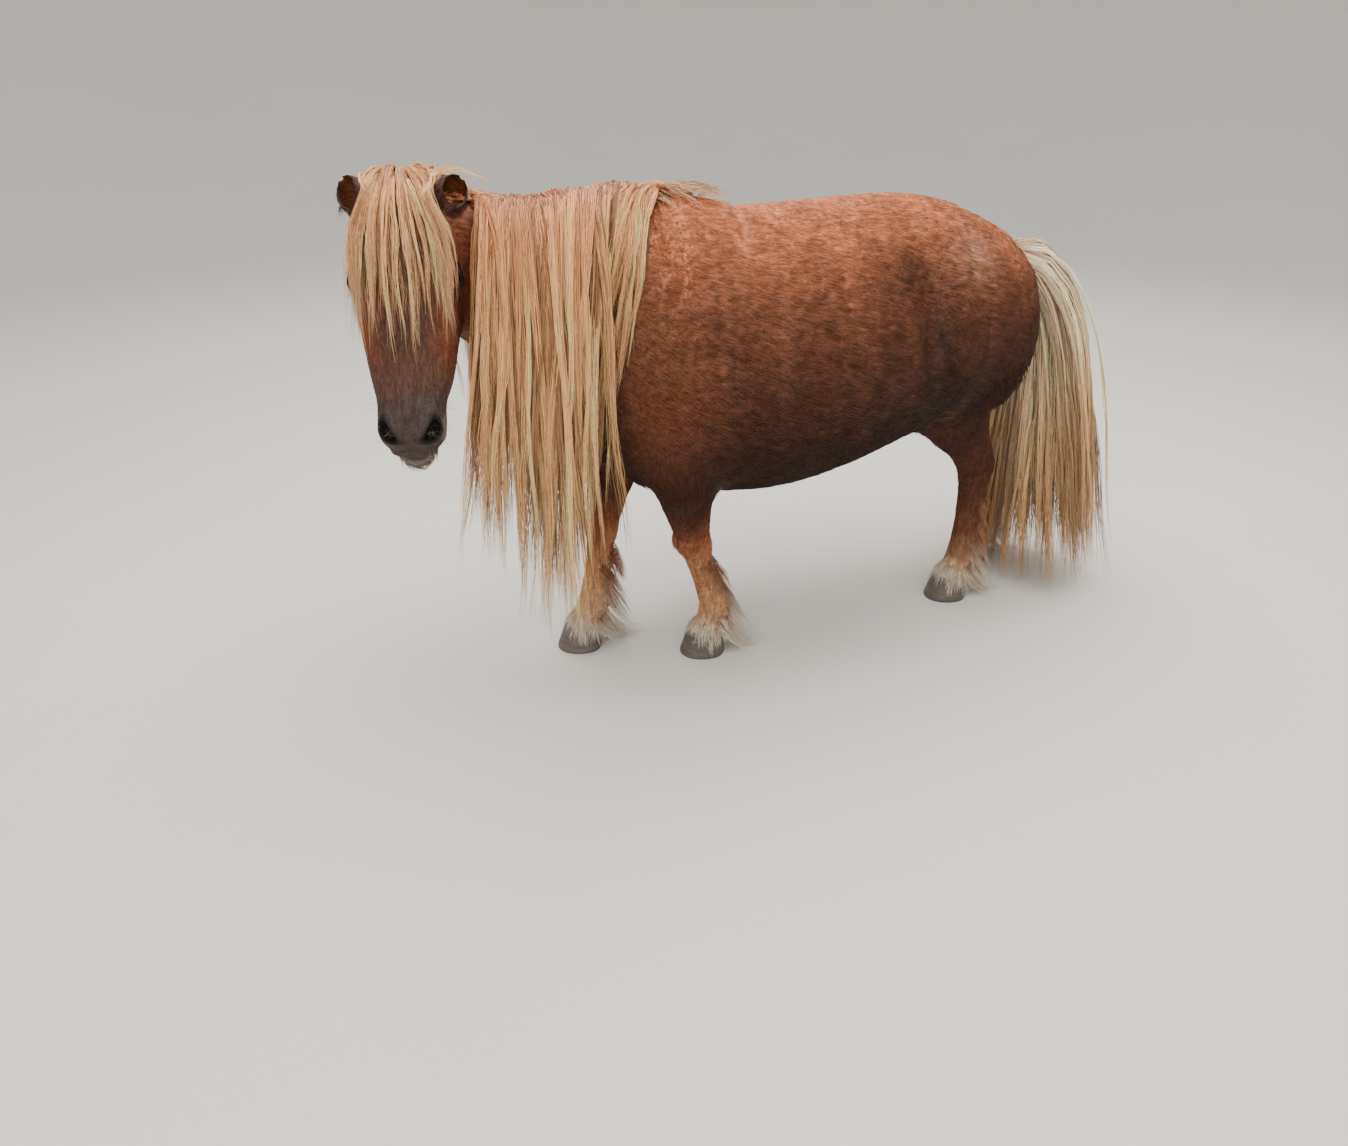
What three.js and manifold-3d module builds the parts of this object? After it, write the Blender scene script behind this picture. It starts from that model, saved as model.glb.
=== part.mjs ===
// A Shetland pony standing on short legs, with its head turned to its left. A long mane hangs on the near
// side of its neck, a forelock covers its brow, its tail falls to the ground and its heels are feathered.
//
// Millimetres, +Z up. The pony faces -Y and its left is +X. The soles stand on Z = 0, and the origin is
// under the middle of the whole model. Flesh is made of limbs: lofts with egg-shaped sections along a curve.

import * as THREE from 'three';
import { LoftGeometry } from 'three/addons/geometries/LoftGeometry.js';
import { mergeVertices } from 'three/addons/utils/BufferGeometryUtils.js';
import Module from 'manifold-3d';

const wasm = await Module();
wasm.setup();

// Driving dimensions: heights above the ground, and places forward of the middle of the trunk

const WITHERS = 938;
const CROUP = 922;
const BELLY = 346;
const BUTTOCK = -524;
const BREAST = 512;
const BARREL = 530; // the width of the trunk at its widest
const POLL = [805, 50, 980]; // forward, left and up
const HEAD_YAW = 71; // degrees that the face is turned left of straight ahead
const HEAD_PITCH = 62; // degrees that the face slopes below the horizontal
const HOOF_HEIGHT = 46; // at the front of the coronet
const EYE_RADIUS = 19;
const GAP = 0.3; // kept between neighbouring nodes

// Colours and finishes

const finish = (color, roughness) => new THREE.MeshStandardMaterial({ color, roughness, metalness: 0 });
const CHESTNUT = finish(0x7a4226, 0.8);
const DARK_CHESTNUT = finish(0x4f2a1d, 0.8);
const FLAXEN = finish(0xb98a55, 0.7);
const HORN = finish(0x6a625c, 0.5);
const EYE = finish(0x1a100c, 0.15);

// Directions of the animal

const at = (forward, left, up) => new THREE.Vector3(left, -forward, up);
const FORWARD = at(1, 0, 0);
const LEFT = at(0, 1, 0);
const UP = at(0, 0, 1);
const SIDES = { left: 1, right: -1 };
const rad = THREE.MathUtils.degToRad;
const lerp = THREE.MathUtils.lerp;

// Limbs: stations of [centre, half width, reach in front or above, reach behind or below]

const station = (forward, left, up, wide, fore, aft) => ({ centre: at(forward, left, up), wide, fore, aft });
const slice = (forward, top, middle, bottom, wide) =>
	station(forward, 0, middle, wide, top - middle, middle - bottom);

const SECTIONS_PER_STATION = 8; // where a limb is measured

// The sections of a limb, whose half widths point along across.
function limb(stations, across = LEFT) {
	const line = new THREE.CatmullRomCurve3(stations.map((s) => s.centre), false, 'centripetal');
	const curve = (key) => new THREE.SplineCurve(stations.map((s, i) => new THREE.Vector2(i, s[key])));
	const [wide, fore, aft] = ['wide', 'fore', 'aft'].map(curve);
	const last = stations.length - 1;
	const section = (place) => {
		const t = place / last;
		const along = line.getTangent(t);
		const side = across.clone().addScaledVector(along, -across.dot(along)).normalize();
		return {
			centre: line.getPoint(t),
			along,
			side,
			front: new THREE.Vector3().crossVectors(along, side),
			wide: wide.getPoint(t).y,
			fore: fore.getPoint(t).y,
			aft: aft.getPoint(t).y,
		};
	};
	const samples = last * SECTIONS_PER_STATION;
	const sections = Array.from({ length: samples + 1 }, (_, i) => section(i / SECTIONS_PER_STATION));
	return { last, section, sections };
}

// A point on a section, turn radians round from its side towards its front, or inside it by share.
function onSection({ centre, side, front, wide, fore, aft }, turn, grow = 0, share = 1) {
	const reach = Math.sin(turn) > 0 ? fore : aft;
	return centre.clone()
		.addScaledVector(side, Math.cos(turn) * (wide + grow) * share)
		.addScaledVector(front, Math.sin(turn) * (reach + grow) * share);
}

const ringOf = (section, sides, grow = 0) =>
	Array.from({ length: sides }, (_, i) => onSection(section, (2 * Math.PI * i) / sides, grow));

const nearest = ({ sections }, point) => sections.reduce((near, s) =>
	(s.centre.distanceToSquared(point) < near.centre.distanceToSquared(point) ? s : near));

// How far a point is outside the nearest of some limbs, negative within it.
function outside(limbs, point) {
	let least = Infinity;
	const offset = new THREE.Vector3();
	for (const part of limbs) {
		const near = nearest(part, point);
		offset.subVectors(point, near.centre);
		const x = offset.dot(near.side) / near.wide;
		const up = offset.dot(near.front);
		const y = up / (up > 0 ? near.fore : near.aft);
		const z = offset.dot(near.along) / Math.min(near.wide, near.fore);
		const share = Math.hypot(x, y, z);
		least = Math.min(least, offset.length() * (1 - 1 / Math.max(share, 1e-6)));
	}
	return least;
}

// Solids

// Sides round a limb and rings to one of its stations
const FINENESS = {
	trunk: [24, 1.3],
	neck: [16, 1.5],
	leg: [12, 1.5],
	pastern: [10, 1.7],
	skull: [20, 1],
	lid: [6, 1],
	dock: [12, 1.6],
};

function solid(geometry) {
	const bare = new THREE.BufferGeometry();
	bare.setAttribute('position', geometry.getAttribute('position'));
	bare.setIndex(geometry.index);
	const merged = mergeVertices(bare, 1e-4);
	return new wasm.Manifold(new wasm.Mesh({
		numProp: 3,
		vertProperties: new Float32Array(merged.attributes.position.array),
		triVerts: new Uint32Array(merged.index.array),
	}));
}

const loft = (rings) => solid(new LoftGeometry(rings, { closed: true, capStart: true, capEnd: true }));
const joined = (solids) => solids.reduce((a, b) => a.add(b));

// The stretch of a limb between two of its stations.
function lengthOf(part, from, to, [sides, perStation], grow = 0) {
	const count = Math.round((to - from) * perStation);
	return loft(Array.from({ length: count + 1 }, (_, i) => {
		const section = part.section(from + ((to - from) * i) / count);
		if (i === 0) section.centre.addScaledVector(section.along, -grow);
		if (i === count) section.centre.addScaledVector(section.along, grow);
		return ringOf(section, sides, grow);
	}));
}

// The space beyond a plane: a block that starts at point and runs along normal.
function beyond(point, normal, across, breadth, height, depth, early = 0) {
	const upright = new THREE.Vector3().crossVectors(normal, across);
	const box = new THREE.BoxGeometry(breadth + 2 * early, height + 2 * early, depth + early);
	box.applyMatrix4(new THREE.Matrix4().makeBasis(across, upright, normal));
	const middle = point.clone().addScaledVector(normal, (depth - early) / 2);
	return solid(box.translate(middle.x, middle.y, middle.z));
}

// A sphere pulled out along two directions and the one square to both.
function ellipsoid(centre, first, second, radii, sides = 14) {
	const third = new THREE.Vector3().crossVectors(first, second);
	const ball = new THREE.SphereGeometry(1, sides, Math.round(sides * 0.6));
	ball.applyMatrix4(new THREE.Matrix4().makeBasis(first, second, third).scale(new THREE.Vector3(...radii)));
	return solid(ball.translate(centre.x, centre.y, centre.z));
}

// Keep the largest of the closed surfaces that a union or a cut leaves.
function largest(made) {
	return made.decompose().reduce((a, b) => (b.volume() > a.volume() ? b : a));
}

// Trunk, neck and legs

const trunk = limb([
	slice(BUTTOCK, 764, 700, 610, 60),
	slice(-500, 812, 690, 560, 122),
	slice(-440, 868, 680, 505, 180),
	slice(-360, 905, 665, 470, 220),
	slice(-265, CROUP + 2, 650, 440, 240),
	slice(-150, CROUP + 4, 635, 404, 250),
	slice(-20, CROUP, 620, 366, 262),
	slice(100, CROUP - 4, 612, BELLY, BARREL / 2),
	slice(200, CROUP - 2, 612, 350, 252),
	slice(285, WITHERS - 4, 612, 358, 228),
	slice(345, WITHERS, 612, 364, 205),
	slice(420, 900, 600, 380, 168),
	slice(480, 815, 590, 440, 124),
	slice(BREAST, 700, 590, 500, 56),
]);

const neck = limb([
	station(300, 0, 700, 130, 225, 200),
	station(430, 0, 757, 122, 188, 222),
	station(540, 6, 804, 102, 145, 188),
	station(640, 18, 840, 86, 117, 152),
	station(730, 30, 875, 76, 95, 118),
	station(800, 42, 896, 58, 72, 78),
]);

const mix = (a, b, t) => a.clone().lerp(b, t);
const sized = (centre, wide, fore, aft) => ({ centre, wide, fore, aft });

// The joints of a leg are given as [forward, left, up].
function foreLeg(shoulder, elbow, knee, fetlock, coronet) {
	const [s, e, k, f, c] = [shoulder, elbow, knee, fetlock, coronet].map((p) => at(...p));
	return limb([
		sized(s, 58, 95, 95),
		sized(e, 60, 72, 78),
		sized(mix(e, k, 0.5), 47, 52, 54),
		sized(mix(e, k, 0.86), 36, 38, 36),
		sized(k, 37, 41, 35),
		sized(mix(k, f, 0.25), 29, 28, 31),
		sized(mix(k, f, 0.6), 26, 25, 31),
		sized(f, 33, 32, 38),
		sized(mix(f, c, 0.5), 31, 30, 33),
		sized(c, 38, 40, 39),
	]);
}

function hindLeg(hip, thigh, stifle, hock, fetlock, coronet) {
	const [h, t, s, k, f, c] = [hip, thigh, stifle, hock, fetlock, coronet].map((p) => at(...p));
	return limb([
		sized(h, 92, 120, 120),
		sized(t, 88, 135, 130),
		sized(s, 70, 98, 98),
		sized(mix(s, k, 0.55), 46, 52, 56),
		sized(mix(s, k, 0.88), 35, 36, 42),
		sized(k, 35, 38, 40),
		sized(mix(k, f, 0.3), 28, 29, 33),
		sized(mix(k, f, 0.65), 27, 27, 31),
		sized(f, 33, 32, 38),
		sized(mix(f, c, 0.5), 31, 31, 33),
		sized(c, 38, 41, 39),
	]);
}

const FOOT_STATION = { fore: 4.6, hind: 5.6 }; // just below the knee or hock
const footFrom = (name) => FOOT_STATION[name.slice(0, 4)];
const legs = {
	fore_left: foreLeg([335, 118, 560], [330, 116, 445], [302, 80, 278], [238, 76, 104], [254, 75, HOOF_HEIGHT]),
	fore_right: foreLeg(
		[345, -118, 560], [374, -112, 450], [434, -74, 280], [464, -58, 106], [490, -56, HOOF_HEIGHT],
	),
	hind_left: hindLeg(
		[-335, 112, 735], [-340, 130, 610], [-308, 126, 505],
		[-414, 92, 314], [-412, 82, 104], [-390, 80, HOOF_HEIGHT],
	),
	hind_right: hindLeg(
		[-335, -112, 735], [-368, -130, 610], [-385, -126, 505],
		[-588, -86, 318], [-602, -76, 104], [-580, -74, HOOF_HEIGHT],
	),
};

// Head: places on it are along the face from the poll, to its left, and out from the line of the face

const facing = at(Math.cos(rad(HEAD_YAW)), Math.sin(rad(HEAD_YAW)), 0);
const headLeft = new THREE.Vector3().crossVectors(UP, facing);
const headDown = facing.clone()
	.multiplyScalar(Math.cos(rad(HEAD_PITCH)))
	.addScaledVector(UP, -Math.sin(rad(HEAD_PITCH)));
const headOut = new THREE.Vector3().crossVectors(headDown, headLeft);
const onHead = (along, left, out) => at(...POLL)
	.addScaledVector(headDown, along)
	.addScaledVector(headLeft, left)
	.addScaledVector(headOut, out);
const headSlice = (along, brow, middle, jaw, wide) =>
	sized(onHead(along, 0, middle), wide, brow - middle, middle - jaw);

const skull = limb([
	headSlice(-32, -45, -62, -82, 26),
	headSlice(-8, -12, -52, -112, 58),
	headSlice(40, 4, -42, -150, 78),
	headSlice(92, 10, -36, -176, 88),
	headSlice(142, 8, -36, -186, 87),
	headSlice(192, 0, -46, -174, 78),
	headSlice(240, -6, -50, -146, 66),
	headSlice(288, -9, -50, -118, 56),
	headSlice(332, -8, -48, -102, 52),
	headSlice(370, -10, -50, -96, 56),
	headSlice(396, -22, -54, -90, 53),
	headSlice(413, -42, -60, -78, 38),
], headLeft);

// Eyes, each looking out from the side of the brow, and the lids that arch over and under it

const EYE_PLACE = [138, 73, -30]; // along the face, to the side, and out
const LID_THICKNESS = 4.5;
const OPENING = { upper: 34, lower: -27 }; // degrees from the middle of the eye to each lid's edge

function eyeFrame(side) {
	const [along, left, out] = EYE_PLACE;
	const looks = headLeft.clone().multiplyScalar(side * 0.86).addScaledVector(headOut, 0.5).normalize();
	const corner = headDown.clone().addScaledVector(looks, -headDown.dot(looks)).normalize();
	const rise = headOut.clone().addScaledVector(looks, -headOut.dot(looks)).normalize();
	return { centre: onHead(along, side * left, out), looks, corner, rise };
}

function lid(side, opening, grow = 0) {
	const { centre, looks, corner, rise } = eyeFrame(side);
	const SPAN = rad(68); // from the middle of the eye to each corner
	const stations = [-1, -0.6, 0, 0.6, 1].map((t) => {
		const turn = SPAN * t;
		const tilt = rad(opening) * (1 - t * t);
		const place = centre.clone()
			.addScaledVector(corner, Math.sin(turn) * EYE_RADIUS)
			.addScaledVector(looks, Math.cos(turn) * Math.cos(tilt) * EYE_RADIUS)
			.addScaledVector(rise, Math.cos(turn) * Math.sin(tilt) * EYE_RADIUS);
		return sized(place, LID_THICKNESS, 6, 6);
	});
	return lengthOf(limb(stations, looks), 0, stations.length - 1, FINENESS.lid, grow);
}

const eyeball = (side, grow = 0) => {
	const { centre, looks, corner } = eyeFrame(side);
	return ellipsoid(centre, corner, looks, Array(3).fill(EYE_RADIUS + grow), 12);
};

// Ears, each a cone opened down its front into a cup

const EAR_LENGTH = 73;
const EAR_WALL = 6;
const EAR_POINTS = 7; // across the back of a section
// Sections of [share of the length, radius, degrees that the wall runs round from the middle of the back]
const EAR_PROFILE = [
	[0, 21, 175], [0.22, 26, 150], [0.45, 30, 128],
	[0.7, 27, 112], [0.9, 17, 104], [1, 7, 100],
];

function earFrame(side) {
	const axis = new THREE.Vector3()
		.addScaledVector(headDown, -0.78)
		.addScaledVector(headLeft, side * 0.55)
		.addScaledVector(headOut, -0.1)
		.normalize();
	const opens = headOut.clone().multiplyScalar(0.75).addScaledVector(headLeft, side * 0.65);
	opens.addScaledVector(axis, -opens.dot(axis)).normalize();
	const across = new THREE.Vector3().crossVectors(axis, opens);
	const place = (height, turn, radius) => onHead(27, side * 54, -26)
		.addScaledVector(axis, height)
		.addScaledVector(opens, -Math.cos(turn) * radius)
		.addScaledVector(across, Math.sin(turn) * radius * 0.85);
	return { axis, opens, place };
}

function ear(side) {
	const { place } = earFrame(side);
	return loft(EAR_PROFILE.map(([height, radius, reach], i) => {
		const wall = i === 0 ? radius * 0.6 : Math.min(EAR_WALL, radius * 0.6);
		const arc = (r) => Array.from({ length: EAR_POINTS }, (_, j) =>
			place(height * EAR_LENGTH, rad(reach) * ((2 * j) / (EAR_POINTS - 1) - 1), r));
		return [...arc(radius - wall), ...arc(radius).reverse()];
	}));
}

// The whole room of an ear with its cup, larger all round by grow, which hair and head keep clear of.
function earRoom(side, grow) {
	const { place } = earFrame(side);
	const sides = 12;
	return loft(EAR_PROFILE.map(([height, radius]) => Array.from({ length: sides }, (_, j) =>
		place(height * (EAR_LENGTH + 2 * grow) - grow, (-2 * Math.PI * j) / sides, radius * 1.04 + grow))));
}

// Muzzle: nostrils with raised wings, a chin, and the line of the mouth cut round the lips

const NOSTRIL = [382, 32, -30];

function nostril(side, grow = 0) {
	const [along, left, out] = NOSTRIL;
	const opens = new THREE.Vector3()
		.addScaledVector(headDown, 0.45)
		.addScaledVector(headLeft, side * 0.5)
		.addScaledVector(headOut, 0.74)
		.normalize();
	const long = headDown.clone().addScaledVector(opens, -headDown.dot(opens)).normalize();
	const centre = onHead(along, side * left, out);
	return {
		wing: ellipsoid(centre, long, opens, [25, 19, 17].map((r) => r + grow), 10),
		hole: ellipsoid(centre.addScaledVector(opens, 17), long, opens, [16, 16, 9.5], 8),
	};
}

const MOUTH = { place: [384, 0, -72], tilt: -14, wide: 180, deep: 96, gape: 2.4, cut: 6 };

function mouth() {
	const along = headDown.clone().applyAxisAngle(headLeft, rad(MOUTH.tilt));
	const across = new THREE.Vector3().crossVectors(headLeft, along);
	const slit = new THREE.BoxGeometry(MOUTH.wide, MOUTH.deep, MOUTH.gape);
	slit.applyMatrix4(new THREE.Matrix4().makeBasis(headLeft, along, across));
	return solid(slit.translate(...onHead(...MOUTH.place)))
		.subtract(lengthOf(skull, 0, skull.last, FINENESS.skull, -MOUTH.cut));
}

// The flesh of the head with its brows, lids, nostrils and chin, larger all round by grow.
function headFlesh(grow = 0) {
	const sides = Object.values(SIDES);
	const brows = sides.map((side) => {
		const { centre, looks, corner, rise } = eyeFrame(side);
		const place = centre.addScaledVector(rise, 15).addScaledVector(looks, -9);
		return ellipsoid(place, corner, looks, [32, 17, 15].map((r) => r + grow), 10);
	});
	const lids = sides.flatMap((side) => Object.values(OPENING).map((opening) => lid(side, opening, grow)));
	const wings = sides.map((side) => nostril(side, grow).wing);
	const chin = ellipsoid(onHead(384, 0, -84), headDown, headLeft, [33, 31, 25].map((r) => r + grow), 10);
	const bone = lengthOf(skull, 0, skull.last, FINENESS.skull, grow);
	return joined([bone, ...brows, ...lids, ...wings, chin]);
}

function head() {
	let made = headFlesh().subtract(mouth());
	for (const side of Object.values(SIDES)) {
		made = made.subtract(nostril(side).hole).subtract(eyeball(side, GAP)).subtract(earRoom(side, GAP));
	}
	return made;
}

// Hooves, from the last section of a leg down to a flat sole

const SOLE = { wide: 49, toe: 60, heel: 40 };
const HOOF_SIDES = 16;

function hoof(leg, grow = 0) {
	const coronet = leg.section(leg.last);
	const top = { ...coronet, centre: coronet.centre.clone().addScaledVector(coronet.along, GAP - grow) };
	const sole = {
		centre: coronet.centre.clone().setZ(0), side: LEFT, front: FORWARD,
		wide: SOLE.wide, fore: SOLE.toe, aft: SOLE.heel,
	};
	return loft([ringOf(top, HOOF_SIDES, grow), ringOf(sole, HOOF_SIDES, grow)]);
}

// Hair: locks are flat, tapered lofts that set off from the flesh, bend down and lie over one another

const ROOT_DEPTH = 16;
const LOCK_STEPS = 16; // steps that the fall of a lock is worked out in
const DOWN = at(0, 0, -1);
const FLOOR_CLEAR = 9;
const ROLL = 0.12; // radians that a lock may turn about its own line

let seed = 1; // set anew by each kind of hair
function random() {
	seed = (seed * 16807) % 2147483647;
	return seed / 2147483647;
}
const vary = (value, share) => value * (1 + share * (2 * random() - 1));
const between = (low, high) => lerp(low, high, random());

// The way straight out from the nearest flesh.
function away(flesh, point) {
	const here = outside(flesh, point);
	const slope = [LEFT, FORWARD, UP].map((way) => outside(flesh, point.clone().add(way)) - here);
	return new THREE.Vector3()
		.addScaledVector(LEFT, slope[0])
		.addScaledVector(FORWARD, slope[1])
		.addScaledVector(UP, slope[2])
		.normalize();
}

// One lock, grown from base. It sets off along heading, bends towards pull and is held clear of flesh.
function lock(base, flesh, root, heading, look) {
	const { length, width, thick = 9, clear = 6, droop = 0.3, pull = DOWN, rings = 6, grow = 0 } = look;
	const step = length / LOCK_STEPS;
	const out = root.clone().sub(nearest(base, root).centre).normalize();
	const way = heading.clone().normalize();
	const point = root.clone();
	const course = [root.clone().addScaledVector(out, -ROOT_DEPTH), root.clone()];
	for (let i = 1; i <= LOCK_STEPS; i++) {
		const last = point.clone();
		point.addScaledVector(way, step);
		const short = clear * Math.min(1, i / 3) - outside(flesh, point);
		if (short > 0) point.addScaledVector(away(flesh, point), Math.min(short, step));
		point.z = Math.max(point.z, FLOOR_CLEAR);
		way.subVectors(point, last).normalize().lerp(pull, droop).normalize();
		course.push(point.clone());
	}
	const line = new THREE.CatmullRomCurve3(course);
	const normal = out.clone().addScaledVector(pull, -0.7);
	const before = heading.clone().normalize();
	const roll = between(-ROLL, ROLL);
	const centres = line.getSpacedPoints(rings);
	return loft(centres.map((centre, i) => {
		const t = i / rings;
		const along = centres[Math.min(i + 1, rings)].clone().sub(centres[Math.max(i - 1, 0)]).normalize();
		const end = centre.clone().addScaledVector(along, i === rings ? grow : 0);
		if (i > 0) normal.applyQuaternion(new THREE.Quaternion().setFromUnitVectors(before, along));
		before.copy(along);
		if (outside(flesh, centre) < 80) normal.lerp(away(flesh, centre), 0.4);
		normal.projectOnPlane(along).normalize();
		const flat = normal.clone().applyAxisAngle(along, roll);
		const across = new THREE.Vector3().crossVectors(flat, along);
		const taper = Math.min(1, 0.45 + 1.8 * t) * (1 - 0.93 * t ** 2.2);
		const wide = (width / 2) * taper + 4 * grow; // a sharp edge moves out further than a flat side
		const deep = Math.max(1.2, thick * taper) + 3 * grow;
		return [[wide, -0.3], [0, 0.7], [-wide, -0.3]].map(([reach, rise]) =>
			end.clone().addScaledVector(across, reach).addScaledVector(flat, deep * rise));
	}));
}

// Mane: rooted along the crest from the withers to the poll, most of it on the left

const CREST = { from: 0.5, to: 4.75 }; // stations of the neck
const MANE_LENGTHS = [330, 590, 800, 800, 720, 670, 640]; // from the withers to the poll
const MANE_DRIFT = [0.22, 0.06, 0.02, 0.02]; // how far it hangs forward as it falls
const MANE_LAYERS = [
	{ side: 1, locks: 14, share: 1, clear: 7, width: 40 },
	{ side: 1, locks: 14, share: 0.9, clear: 18, width: 40 },
	{ side: -1, locks: 9, share: 0.6, clear: 7, width: 46 },
];

function along(values, t) {
	const place = t * (values.length - 1);
	const i = Math.min(values.length - 2, Math.floor(place));
	return lerp(values[i], values[i + 1], place - i);
}

function maneLocks() {
	seed = 20;
	const flesh = [trunk, neck, skull, legs.fore_left, legs.fore_right];
	return MANE_LAYERS.flatMap(({ side, locks, share, clear, width }, layer) =>
		Array.from({ length: locks }, (_, i) => {
			const t = (i + 0.25 + 0.5 * (layer % 2) + between(-0.1, 0.1)) / locks;
			const crest = neck.section(lerp(CREST.from, CREST.to, t));
			const root = onSection(crest, Math.PI / 2 - side * between(0.02, 0.1));
			const heading = LEFT.clone().multiplyScalar(side * 0.8)
				.addScaledVector(UP, lerp(1.5, 0.6, t))
				.addScaledVector(FORWARD, between(-0.1, 0.15));
			return lock(neck, flesh, root, heading, {
				length: vary(along(MANE_LENGTHS, t) * share, 0.08),
				width: vary(width, 0.15),
				clear,
				droop: 0.42,
				pull: DOWN.clone().addScaledVector(FORWARD, along(MANE_DRIFT, t)).normalize(),
			});
		}));
}

// Forelock: rooted between the ears, fanned over the brow and eyes

const FORELOCK = { locks: 13, length: 345, width: 36, spread: 0.3 };

function forelockLocks(grow = 0) {
	seed = 31;
	return Array.from({ length: FORELOCK.locks }, (_, i) => {
		const t = (2 * (i + 0.5)) / FORELOCK.locks - 1;
		const root = onHead(between(-14, 6), t * 26, 0);
		const depth = outside([skull], root);
		root.addScaledVector(away([skull], root), -depth);
		const heading = UP.clone().multiplyScalar(1.2)
			.addScaledVector(headLeft, t * FORELOCK.spread)
			.addScaledVector(facing, 0.3);
		return lock(skull, [skull], root, heading, {
			length: vary(FORELOCK.length * (1 - 0.28 * t * t), 0.06),
			width: vary(FORELOCK.width, 0.15),
			thick: 8,
			clear: 6 + (i % 2) * 9,
			droop: 0.4,
			pull: headDown.clone().add(DOWN).addScaledVector(headLeft, t * FORELOCK.spread).normalize(),
			rings: 4,
			grow,
		});
	});
}

// Tail: a dock inside a core of hair half way down, with locks rooted round it to the ground

const tailCore = limb([
	sized(at(-478, 0, 768), 32, 34, 34),
	sized(at(-545, 0, 768), 34, 34, 34),
	sized(at(-602, 4, 715), 40, 40, 38),
	sized(at(-636, 14, 610), 46, 46, 44),
	sized(at(-658, 26, 500), 44, 44, 42),
	sized(at(-672, 34, 400), 20, 20, 18),
]);
// Locks of the tail are rooted between these stations of its core
const TAIL = { locks: 27, width: 56, thick: 15, from: 1.25, to: 3.9 };

function tailLocks() {
	seed = 43;
	const flesh = [tailCore, trunk, legs.hind_left, legs.hind_right];
	return Array.from({ length: TAIL.locks }, (_, i) => {
		const t = (i + 0.5) / TAIL.locks;
		const turn = i * 2.4; // the golden angle, so that the locks spread evenly round the dock
		const section = tailCore.section(lerp(TAIL.from, TAIL.to, t ** 0.9));
		const root = onSection(section, turn, -2);
		const out = root.clone().sub(section.centre).normalize();
		const heading = section.along.clone().addScaledVector(out, 0.15).addScaledVector(DOWN, 0.2 * (1 - t));
		const pull = DOWN.clone()
			.addScaledVector(FORWARD, -0.17 + 0.13 * out.dot(FORWARD))
			.addScaledVector(LEFT, 0.06 + 0.08 * out.dot(LEFT));
		return lock(tailCore, flesh, root, heading, {
			length: vary(root.z * 0.97, 0.04),
			width: vary(TAIL.width, 0.2),
			thick: TAIL.thick,
			clear: 5 + 9 * (1 - t),
			droop: 0.45,
			pull: pull.normalize(),
			rings: 5,
		});
	});
}

// Feathers: long hair behind each cannon and heel, and a short fringe round the top of the hoof

// Rows of feather run from and to these stations above the coronet
const FEATHER = { rows: 3, perRow: 3, length: 118, width: 48, from: 3.1, to: 0.8 };
const FRINGE = { locks: 6, length: 48, width: 44 };

function featherLocks(name) {
	seed = 53 + 11 * Object.keys(legs).indexOf(name);
	const leg = legs[name];
	const flesh = [leg];
	const behind = Array.from({ length: FEATHER.rows * FEATHER.perRow }, (_, i) => {
		const row = Math.floor(i / FEATHER.perRow);
		const t = (row + 0.5) / FEATHER.rows;
		const turn = -Math.PI / 2 + ((i % FEATHER.perRow) - 1 + between(-0.15, 0.15)) * 0.85;
		const root = onSection(leg.section(leg.last - lerp(FEATHER.from, FEATHER.to, t)), turn, -1);
		const heading = away(flesh, root).add(at(-0.5, 0, -1.6));
		return lock(leg, flesh, root, heading, {
			length: vary(FEATHER.length * lerp(0.8, 1, t), 0.1),
			width: vary(FEATHER.width, 0.15),
			thick: 15,
			clear: 4,
			droop: 0.2,
			pull: at(-lerp(0.1, 0.75, t), 0, -0.85).normalize(),
			rings: 3,
		});
	});
	const fringe = Array.from({ length: FRINGE.locks }, (_, i) => {
		const turn = (2 * Math.PI * (i + between(-0.1, 0.1))) / FRINGE.locks;
		const root = onSection(leg.section(leg.last - 0.45), turn, -1);
		const heading = away(flesh, root).add(at(0, 0, -1.1));
		return lock(leg, flesh, root, heading, {
			length: vary(FRINGE.length, 0.1),
			width: vary(FRINGE.width, 0.1),
			thick: 7,
			clear: 4,
			droop: 0.15,
			rings: 2,
		});
	});
	return [...behind, ...fringe];
}

// The pony: the flesh of trunk, neck and legs is joined whole, then parted by thin cuts

const NECK_CUT = { point: at(415, 0, 765), normal: at(0.93, 0, 0.36).normalize() };
const FORE_CUT = { forward: 345, out: 120, up: 432, normal: [0, 0.42, -0.9] };
const HIND_CUT = { forward: -345, out: 130, up: 508, normal: [-0.25, 0.4, -0.9] };
const LEG_ROOM_FROM = { fore: 1, hind: 2 }; // the station of a leg that its room starts at
const FOOT_GAP = 0.01; // stations of a leg between it and its pastern
const FOOT_OVERLAP = 0.2; // stations that a leg's room reaches into the pastern
const BEYOND_NECK = [500, 620, 600]; // breadth, height and depth of the block that takes in the neck
const BELOW_LEG = [700, 500, 520]; // and of the block under a leg's cut

function legCut(name) {
	const { forward, out, up, normal } = name.startsWith('fore') ? FORE_CUT : HIND_CUT;
	const side = name.endsWith('left') ? SIDES.left : SIDES.right;
	const [ahead, sideways, rise] = normal;
	return { point: at(forward, side * out, up), normal: at(ahead, side * sideways, rise).normalize() };
}

const nodes = {};

// The flesh of trunk, neck and upper legs, larger all round by grow.
function wholeBody(grow = 0) {
	return joined([
		lengthOf(trunk, 0, trunk.last, FINENESS.trunk, grow),
		lengthOf(neck, 0, neck.last, FINENESS.neck, grow),
		...Object.entries(legs).map(([name, leg]) => lengthOf(leg, 0, footFrom(name), FINENESS.leg, grow)),
	]);
}

function pastern(name, grow = 0) {
	return lengthOf(legs[name], footFrom(name) + FOOT_GAP, legs[name].last, FINENESS.pastern, grow);
}

const neckSpace = (early = 0) => beyond(NECK_CUT.point, NECK_CUT.normal, LEFT, ...BEYOND_NECK, early);

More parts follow.
